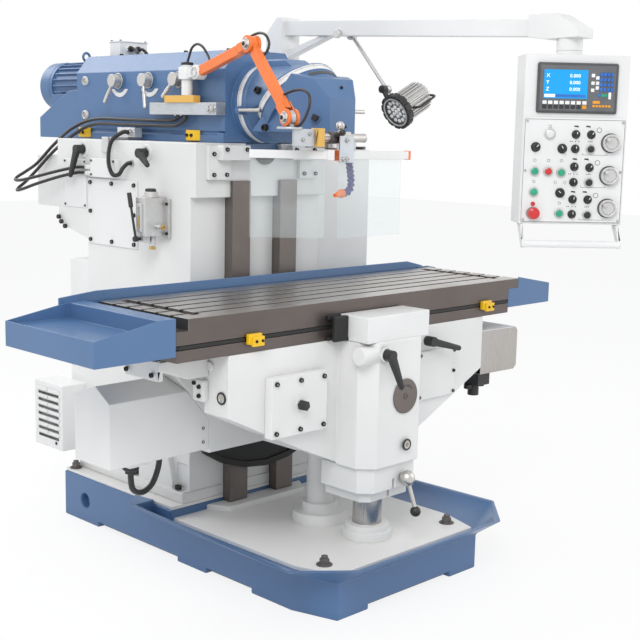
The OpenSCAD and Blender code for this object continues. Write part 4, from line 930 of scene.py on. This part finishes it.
ramScrews = [((-212, y + d, 1668), left, 7) for y in (1006, 241) for d in (-14, 14)]
ramScrews += [((111 * math.cos(a), 1098, 1879 + 111 * math.sin(a)), behind, 8)
              for a in (0.8, 2.35, 3.9, 5.5)]
ramScrews += [((x, y, 2072), above, 5) for x in (-68, 68) for y in (908, 974)]
ramScrews += [((x, y, 2003), above, 9) for x in (-104, 104) for y in (130, 400, 670, 850)]
screws("ramScrews", ramScrews, "darkBolt", "ram")

swivelScrews = [((side * x, y, z), (side * a, b, c), 15) for x, y, z, a, b, c in (
    (154.8, -109, 1842, 0.95, 0.13, 0.3), (101, -62, 1714, 0.3, -0.67, -0.69)) for side in (-1, 1)]
swivelScrews += [((-55, -77, 1715.5), (-0.11, -0.75, -0.65), 8)]
screws("swivelScrews", swivelScrews, "darkBolt", "head_swivel", head=1.1, socket=0.55)
headScrews = [((side * 150, -146, 1704), (side, 0, 0), 14) for side in (-1, 1)]
headScrews += [((17, -378, 1857), (0, -0.83, 0.55), 6), ((13, -404, 1713), ahead, 6)]
screws("headScrews", headScrews, "darkBolt", "spindle_head", head=1.1, socket=0.55)
tableScrews = [((x + d, -605, 991), ahead, 5) for x in (-586, 704) for d in (-12, 16)]
tableScrews += [((x, -53, 1075), behind, 7) for x in range(-760, 820, 260)]
screws("tableScrews", tableScrews, "darkBolt", "table")
guardScrews = onFront(-540, 8, ((-112, 1596), (-112, 1664), (-128, 1596)))
guardScrews += onFront(-506, 7, ((-300, 1664), (-266, 1684)))
screws("guardScrews", guardScrews, "brightSteel", "guard")
print("screws set")


# Swivel scales: white bands with black ticks on both rings

diag = math.sqrt(0.5)
ringA = basis((0, 0, 1797), right, above, ahead)
ringB = basis((0, -178, 1805), right, (0, -diag, diag), (0, -diag, -diag))
scaleRings = {
    "scaleA": {"at": ringA, "radius": 155.0, "low": -17, "high": 8, "start": 100, "end": 260, "count": 81},
    "scaleB": {"at": ringB, "radius": 170.0, "low": -30, "high": -6, "start": 60, "end": 220, "count": 81},
}
for name, look in scaleRings.items():
    strip = Shape(look["at"])
    strip.band(look["radius"], 0.5, look["low"], look["high"], look["start"], look["end"],
               "scaleWhite", 160)
    strip.piece(name, "head_swivel", "white_paint")
    step = math.radians((look["end"] - look["start"]) / (look["count"] + 1))
    field("tick", name + "Ticks", look["at"] @ Matrix.Translation((0, 0, look["low"] + 7)), {
        "Count": look["count"], "Start": math.radians(look["start"]) + step, "Step": step,
        "Radius": look["radius"] + 0.45, "Tick": (0.6, 1.0, 8.0), "Long": (1, 1.3, 1.6), "Every": 10},
        "inkBlack", "head_swivel")

swivel = {
    "neckA": (150, 24), "neckB": (164, -34), "around": 72,
    "flangeA": [(0, -22), (152, -22), (155, -19), (155, 22), (150, 27), (0, 27)],
    "flangeB": [(0, -42), (163, -42), (170, -35), (170, -2), (168, 0), (0, 0)],
    "hood": ((-30, 1960), (-30, 1900), (-150, 1960), (-190, 1936), (-160, 1880)),
}


def circle(at, radius, height, count):
    turns = [2 * math.pi * k / count for k in range(count)]
    return [at @ Vector((radius * math.cos(t), radius * math.sin(t), height)) for t in turns]


elbow = Shape()
rims = circle(ringA, *swivel["neckA"], swivel["around"]) + circle(ringB, *swivel["neckB"], swivel["around"])
elbow.hull(rims, "blueCasting")
for ring, flange in ((ringA, "flangeA"), (ringB, "flangeB")):
    elbow.at = ring
    elbow.lathe((0, 0, 0), above, swivel[flange], "blueCasting", 96)
elbow.at = Matrix()
hood = [(x, y, z) for x in (-60, 60) for y, z in swivel["hood"]]
elbow.hull(hood + [(x, y, 1966) for x in (-54, 54) for y in (-34, -140)], "blueCasting")
elbow.tube([(-168, 4, 1769), (-168, -100, 1769), (-166, -132, 1769)], 8, "brightSteel", 20)
elbow.hull([(-176, y, z) for y in (-14, 2) for z in (1756, 1782)]
           + [(-140, y, z) for y in (-26, 6) for z in (1750, 1788)], "blueCasting")
elbow.piece("headSwivelBody", "head_swivel", "blue_paint", ("head_swivel",))

trim = Shape()
slant = Vector((-0.82, -0.57, 0)).normalized()
shaft = basis((-100, -364, 1744), slant.cross(Vector(above)), above, slant)
trim.at = shaft @ spin(24, "Z")
trim.ring((0, 0, -6), above, 8, 21, 8, "blueCasting")
trim.box((-11, -11, -4), (11, 11, 30), "darkBolt", 2)
trim.at = Matrix()
trim.tube([(68, -330, 1772), (196, -330, 1772)], 8, "brightSteel", 20)
trim.at = ringB
trim.band(170, 1.5, 8, 22, 66, 116, "bezelGrey", 160)
trim.piece("headTrim", "spindle_head", "blue_paint")
print("head dressed")


# Column and ram trim: pump window, lever bosses, sight glasses, caps

trim = Shape()
for y, z in ((782, 1598), (340, 1594)):
    trim.ring((-350, y, z), left, 20.5, 36, 6, "whiteCasting", 40, 2)
trim.knob((-410, 233, 1448), above, 22, 12, "blackPlastic", 40, 0.3, 0.06)
trim.box((-463, 229, 1304), (-461.5, 245, 1390), "sightGlass", 0.4)
trim.tube([(-462.6, 237, 1308), (-462.6, 237, 1352)], 4, "brassMetal")
trim.ring((-402, 169, 1312), ahead, 3, 11, 10, "brassMetal", 6)
trim.ring((-402, 233, 1232), down, 5, 14, 12, "brassMetal", 6)
for z in (1500, 1524):
    trim.ring((-363, 716, z), behind, 8, 11.9, 16, "brightSteel", 6)
    trim.ring((-363, 738, z), behind, 7.2, 11.4, 8, "brightSteel", 24)
trim.ring((-338, 436, 1550), left, 9.2, 15, 20, "brightSteel", 6)
trim.ring((-280, 556, 1673), left, 9.2, 14, 4, "brightSteel", 24)
trim.box((718, 96, 1030), (730, 110, 1070), "blackPlastic", 3)
trim.ring((720, 108, 990), ahead, 6, 14, 8, "brightSteel")
trim.knob((-470, 838, 318), left, 7, 4, "blackPlastic", 24)
trim.piece("machineTrim", "machine", "black_plastic")
field("grid", "louvresLeft", Matrix.Translation((-470.5, 900, 452)) @ spin(-90, "Z"), {
    "Columns": 2, "Rows": 7, "Width": 94.0, "Height": 192.0, "Sides": 4, "Turn": math.radians(45),
    "Cell": (62, 11, 6)}, "whiteSheet", "machine")

trim = Shape()
trim.ring((-230, 234, 1943), above, 8, 25, 10, "blackPlastic", 40, 3)
trim.knob((-230, 234, 1943), above, 9, 12, "blackPlastic", 24)
for y, z in ((998, 1893), (1000, 1745)):
    trim.ring((-199, y, z), left, 12, 17, 3, "brightSteel", 40)
    trim.lathe((-193, y, z), left, [(0, 0), (12, 0), (12, 4), (8, 6), (0, 7)], "sightGlass")
for y in (60, 84):
    trim.ring((-240, y, 1772), left, 5, 16, 4, "brightSteel", 28)
    trim.knob((-244, y, 1772), left, 11, 9, "brightSteel", 6, 0.15)
for y in (742, 530, 325):
    trim.ring((-200, y, 1889), left, 28, 33, 3, "satinAlloy", 48)
for x in (-30, 10):
    trim.ring((x, 890, 2037), ahead, 7, 14, 14, "blackPlastic", 6)
for bend in ([(-30, 876, 2037), (-30, 850, 2036), (-36, 826, 2022), (-40, 820, 2008), (-40, 820, 2000)],
             [(10, 876, 2037), (10, 850, 2036), (16, 832, 2022), (18, 826, 2008), (18, 826, 2000)]):
    trim.tube(smoothLine(bend), 6.5, "cableSheath", 12)
for y in (255, 292):
    trim.box((-243, y, 1744), (-206, y + 9, 1748), "zincTube", 1)
trim.piece("ramFittings", "ram", "zinc")
print("column and ram dressed")


# Knee: ring glasses, disc marks, black blocks left of the front cover, bracket, hose under the motor cover

trim = Shape()
trim.ring((-395, -613, 744), ahead, 9, 26, 5, "whiteCasting", 40)
trim.knob((-395, -618, 744), ahead, 19, 28, "blackPlastic", 6, 0.15)
for place, axis in (((-695, -541, 797), left), ((38, -739, 549), ahead)):
    trim.ring(place, axis, 16, 22, 6, "blackPlastic", 40, 1.5)
    trim.ring(place, axis, 9, 16, 4.5, "brightSteel", 40, 1)
    trim.lathe(place, axis, [(0, 0), (9, 0), (9, 3), (6, 4.5), (0, 5)], "sightGlass")
trim.box((-719, -470, 774), (-694, -412, 848), "whiteCasting", 4)
# black blocks at the left of the front cover, under the table
for z0, z1 in ((1026, 1042), (950, 963)):
    trim.box((-238, -589, z0), (-171, -577, z1), "blackRubber", 2)
trim.box((-240, -626, 950), (-171, -608, 1042), "blackRubber", 3)
trim.box((-171, -626, 950), (-169, -577, 963), "blackRubber", 0.5)
trim.ring((-92, -738, 905), ahead, 21, 28, 6, "whiteCasting", 40)
trim.ring((30, -736, 734), ahead, 6, 12, 2, "wornSteel", 32)
trim.ring((-785, -145, 500), down, 12, 30, 22, "blackPlastic", 40, 3)
trim.ring((-785, -145, 478), down, 12, 22, 14, "blackPlastic", 6, 2)
trim.ring((-630, -110, 528), down, 12, 20, 16, "blackPlastic", 6, 2)
for x in (725, 765, 812):
    trim.ring((x, -486, 640), down, 10, 17, 18, "blackPlastic", 24, 2)
trim.piece("kneeTrim", "knee", "black_plastic")
motorHose = [
    (-785, -145, 484), (-785, -145, 444), (-774, -140, 404), (-740, -128, 380), (-700, -118, 376),
    (-662, -112, 398), (-638, -110, 444), (-630, -110, 484), (-630, -110, 512)]
layCord("motorHose", smoothLine(motorHose), 11, "knee")
field("tick", "discMarks", basis((30, -736.3, 734), right, above, ahead), {
    "Count": 13, "Start": math.radians(40), "Step": math.radians(8), "Radius": 40.0, "Tick": (6.0, 1.2, 0.8),
    "Long": (1.5, 1.2, 1), "Every": 4}, "inkBlack", "knee")

trim = Shape()
for x0, x1 in ((-905, -624), (-556, 664), (736, 858)):
    trim.box((x0, -574.5, 990.5), (x1, -566, 1003.5), "blackRubber", 1)
trim.knob((-908, -570, 997), left, 6, 8, "blackPlastic", 24)
trim.piece("tableTrim", "table", "black_rubber")

trim = Shape()
for side in (-1, 1):
    trim.hull([(side * x, y, z) for x, y, z in (
        (440, 180, 140), (440, 180, 215), (549, 180, 215), (440, 300, 205),
        (446, 300, 205), (446, 300, 190), (549, 190, 215), (440, 190, 140))], "blueCasting")
for x in (-345, 345):
    trim.ring((x, -700, 166), above, 13, 30, 3, "wornSteel", 32)
trim.piece("baseTrim", "machine", "blue_paint")
print("knee, table and base dressed")


# Guard fittings: clamp lever, ball knobs, nozzle, washers and pin nuts

trim = Shape()
trim.ring((-168, -500, 1673), right, 16.2, 22, 26, "wornSteel", 32)
trim.tube([(-155, -512, 1678), (-150, -548, 1690)], [9, 7], "blackPlastic", 16)
trim.ball((-150, -552, 1692), 12, "blackPlastic")
trim.knob((-110, -500, 1695), above, 9, 10, "brightSteel", 24)
trim.ball((-110, -500, 1716), 17, "brightSteel")
trim.box((-176, -538, 1591.5), (-147, -507, 1630.5), "orangePlastic", 1.5)
trim.ring((15, -500, 1673), right, 8, 16.6, 5, "brightSteel", 32)
trim.ring((-52, -494, 1626), down, 10, 19, 14, "blackPlastic", 24)
nose = Vector((-0.985, 0, -0.17))
trim.lathe((-72, -486, 1471.5), nose, [
    (0, 0), (15.5, 0), (16.5, 4), (16.5, 14), (13, 20), (8, 34), (6.5, 46), (4.5, 46), (4.5, 40), (0, 40)],
    "orangePlastic", 24)
trim.piece("guardFittings", "guard", "zinc")
armTrim = {"guard_upper_arm": [(91, 1912, 22), (465, 2003, 24)], "guard_lower_arm": [(716, 1740, 24)]}
for body, spots in armTrim.items():
    trim = Shape(armFrame)
    for u, z, half in spots:
        for side in (-1, 1):
            trim.ring((u, side * half, z), (0, side, 0), 12.4, 22, 3, "brightSteel", 32)
    trim.piece(camel(body) + "Washers", body, "zinc")
caps = {"guard_lower_arm": (465, 2003), "guard": (716, 1740)}
for body, (u, z) in caps.items():
    trim = Shape(armFrame)
    for side in (-1, 1):
        trim.knob((u, side * 27, z), (0, side, 0), 15, 8, "brightSteel", 6, 0.15)
        trim.knob((u, side * 33, z), (0, side, 0), 8, 5, "darkBolt", 20)
    trim.piece(camel(body) + "PinNuts", body, "zinc")
print("guard dressed")


# Pendant: readout, controls, wheels

pendantFrame = Matrix.Translation((440, -1095, 0)) @ spin(-42, "Z")
front, topZ = -130, 1975


def below(x, drop, out=0.0):
    return (x, front - out, topZ - drop)


readout = {"bezel": ((-142, 142), (28, 200)), "screen": ((-120, 34), (52, 150)),
           "text": {"size": 17, "first": 78, "pitch": 23}}
panel = {"front": 12, "key": 15, "low": 14.6}
face = Shape(pendantFrame)


def key(x0, drop0, x1, drop1, material, chamfer, top=panel["key"]):
    face.box(below(x0, drop0, panel["front"]), below(x1, drop1, top), material, chamfer)


(x0, x1), (z0, z1) = readout["bezel"]
face.box(below(x0, z1), below(x1, z0, panel["front"]), "bezelGrey", 5)
face.box(below(x0 + 10, z1 - 9, 10), below(x1 - 10, z0 + 9, 12.6), "panelGrey", 0.6)
(x0, x1), (z0, z1) = readout["screen"]
key(x0, z1, x1, z0, "screenBlue", 1, 14.4)
text = readout["text"]
for row, name in enumerate("XYZ"):
    drop = text["first"] + text["pitch"] * row
    for x, word in ((-112, name), (-30, "0.000")):
        face.letters(word, text["size"], below(x, drop, panel["low"]), "screenWhite")
face.box(below(-116, 146, 14), below(-80, 136, 14.7), "screenWhite", 0.2)
face.box(below(-76, 146, 14), below(28, 136, panel["low"]), "keyBlue", 0.2)
for k in range(8):
    x = -122 + 20 * k
    key(x, 170, x + 15, 158, "scaleWhite", 1)
    key(x, 185, x + 15, 172, "keyOrange" if k == 7 else "inkBlack", 2)
for x, drop in ((52, 70), (68, 78), (52, 96), (68, 96), (52, 120), (68, 112)):
    key(x - 6, drop + 6, x + 6, drop - 6, "scaleWhite", 1.5, panel["low"])
key(82, 142, 104, 132, "greenPlastic", 1.5)
key(70, 142, 80, 132, "keyBlue", 1.5)
key(108, 150, 118, 126, "scaleWhite", 1.5)
for k in range(6):
    key(54 + 11 * k, 178, 63 + 11 * k, 170, "keyOrange", 1.2)
key(54, 166, 80, 156, "keyOrange", 1.2)
face.piece("pendantReadoutBody", "pendant", "black_plastic", ("pendant_readout",))
field("grid", "pendantKeypad", pendantFrame @ Matrix.Translation((100, front - 13.6, topZ - 92)), {
    "Columns": 4, "Rows": 4, "Width": 38.0, "Height": 52.0, "Sides": 4, "Turn": math.radians(45),
    "Cell": (7, 9, 3)}, "keyBlue", "pendant")

controls = Shape(pendantFrame)
plate = {"out": 5, "ink": 5.4, "x": 176, "top": 222, "bottom": 578, "line": 1.2}


def onPlate(x, drop):
    return below(x, drop, plate["out"])


def ink(x0, drop0, x1, drop1):
    controls.box(onPlate(x0, drop0), below(x1, drop1, plate["ink"]), "inkBlack", 0.1)


half = plate["line"] / 2
for x in (-plate["x"], plate["x"]):
    ink(x - half, plate["bottom"], x + half, plate["top"])
for drop in (plate["top"], plate["bottom"]):
    ink(-plate["x"], drop + half, plate["x"], drop - half)
selectors = [(-136, 318, 13, 40), (-42, 322, 13, -30), (-42, 476, 13, -50)]
for drops in ((272, 272, 322), (384, 386, 438), (498, 498, 550)):
    selectors += [(4, drops[0], 11, 10), (58, drops[1], 11, 35), (4, drops[2], 11, 0)]
for x, drop, r, turn in selectors:
    place = onPlate(x, drop)
    controls.ring(place, ahead, r - 4, r + 4, 4, "blackPlastic", 32)
    controls.knob(place, ahead, r, 9, "blackPlastic", 32, 0.15)
    controls.at = pendantFrame @ Matrix.Translation(place) @ spin(turn, "Y")
    controls.hull([(sx * x, y, sz * z) for x, y, z in ((4.5, -9, r + 1), (3, -18, r - 2))
                   for sx in (-1, 1) for sz in (-1, 1)], "blackPlastic")
    controls.box((-1.2, -18.5, 1), (1.2, -17.6, r - 2.5), "scaleWhite", 0.2)
    controls.at = pendantFrame
buttons = {"whitePlastic": [(-88, 272, 15)], "redPlastic": [(-88, 402, 13)],
           "greenPlastic": [(-136, 402, 13), (-42, 405, 13), (-136, 474, 13), (-42, 548, 13)],
           "blackPlastic": [(58, 322, 13), (58, 438, 13), (58, 552, 13)]}
for material, spots in buttons.items():
    for x, drop, r in spots:
        controls.ring(onPlate(x, drop), ahead, r - 3, r + 4, 5, "satinAlloy", 40)
        controls.knob(onPlate(x, drop), ahead, r - 1, 13, material, 40, 0.3)
for drops in (300, 413, 527):
    controls.ring(onPlate(86, drops - 44), ahead, 7.5, 9, 0.5, "inkBlack", 24, 0.1)
    # painted shadow: a thin dark grey ring on the plate round each handwheel
    controls.ring(onPlate(128, drops), ahead, 31, 34, 0.6, "bezelGrey", 64, 0.1)
    for x in (4, 46):
        controls.hull([below(x + dx, drops - rise, lift) for dx, rise, lift in (
            (-8, 54, 5), (-6, 59, 5), (8, 58, 5), (9, 52, 5), (0, 56, 5.5), (4, 55, 5.5))], "inkBlack")
    for x in (-14, -8, 4, 16, 50, 56, 62):
        ink(x - 1.6, drops - 2, x + 1.6, drops - 5)
    ink(30, drops + 36, 31, drops + 43)
    ink(30, drops + 42, 118, drops + 43)
    ink(117, drops + 43, 118, drops + 36)
marks = ((-88, 246), (-88, 364), (-136, 364), (-42, 364), (-136, 438), (-60, 440), (-26, 440), (-42, 512))
for x, drop in marks:
    controls.ring(onPlate(x, drop), ahead, 4.2, 5.2, 0.5, "inkBlack", 20, 0.1)
controls.ring(onPlate(-136, 548), ahead, 12, 24, 2, "satinAlloy", 40)
controls.lathe(onPlate(-136, 516), ahead, [(0, 0), (8, 0), (8, 1), (0, 1)], "redPlastic", 24)
controls.piece("pendantControlsBody", "pendant", "black_plastic", ("pendant_controls",))
plateScrews = [(pendantFrame @ Vector(onPlate(x, drop)), pendantFrame.to_3x3() @ Vector(ahead), 4.5)
               for x in (-169, 169) for drop in (229, 400, 571)]
screws("pendantScrews", plateScrews, "brightSteel", "pendant")

trim = Shape(pendantFrame)
trim.lathe(below(-136, 548), ahead, [
    (0, -30), (8.5, -30), (8.5, 17), (14, 18), (20, 21), (21, 26), (20, 33), (14, 37.5), (0, 38)],
    "redPlastic", 48)
trim.piece("stopButton", "e_stop", "red_plastic", ("e_stop",))

wheelLook = {"drops": {"x": 300, "y": 413, "z": 527}, "across": 128}
for name, drop in wheelLook["drops"].items():
    wheel = Shape(pendantFrame)
    hub = Vector(below(wheelLook["across"], drop))
    wheel.lathe(hub, ahead, [(0, -36), (8, -36), (8, 6), (29, 6), (31, 7.5), (31, 12), (29.5, 13.5)],
                "wornSteel", 64)
    wheel.lathe(hub, ahead, [(29.5, 13.5), (31, 15), (31, 24), (29, 26), (25, 26), (24, 25), (0, 25)],
                "satinAlloy", 64, 0.02)
    crank = hub + Vector((-16, -24, 12))
    wheel.lathe(crank, ahead, [(0, 0), (5, 0), (5, 3), (7, 5), (7, 18), (5.5, 20), (0, 20)], "satinAlloy", 24)
    node = "handwheel_" + name
    wheel.piece("handwheel" + name.upper() + "Body", node, "zinc", (node,))
    dial = pendantFrame @ basis(hub + Vector((0, -25.2, 0)), right, above, ahead)
    field("tick", "dialMarks" + name.upper(), dial, {
        "Count": 50, "Start": 0.0, "Step": math.radians(7.2), "Radius": 21.5, "Tick": (3.0, 0.5, 0.6),
        "Long": (1.6, 1.4, 1), "Every": 5}, "inkBlack", node)
print("pendant dressed")


# Lamp face and its wire handle

trim = Shape(lampFrame)
trim.ring((0, 0, -14), down, 56, 63, 2, "satinAlloy", 64, 0.5)
trim.lathe((0, 0, -5.5), down, [(0, -1), (61.5, -1), (61.5, 1), (0, 1.4)], "panelGrey", 64)
for k, radius in enumerate((0, 20, 42)):
    for j in range(1 if k == 0 else 6 * k):
        angle = 2 * math.pi * j / max(1, 6 * k)
        spot = (radius * math.cos(angle), radius * math.sin(angle), -6.5)
        trim.lathe(spot, down, [(0, 0), (8.5, 0), (8.5, 2.5), (6, 4), (0, 5)], "scaleWhite", 20)
trim.lathe((0, 0, 150), above, [(0, 0), (50, 0), (50, 5), (46, 8), (0, 8)], "satinAlloy", 48)
handle = [(0, -62, 30), (0, -92, 40), (0, -96, 70), (0, -96, 110), (0, -90, 138), (0, -60, 146)]
trim.tube(smoothLine(handle), 5, "blackPlastic", 12)
trim.piece("lampFace", "lamp_head", "zinc")
print("lamp dressed")
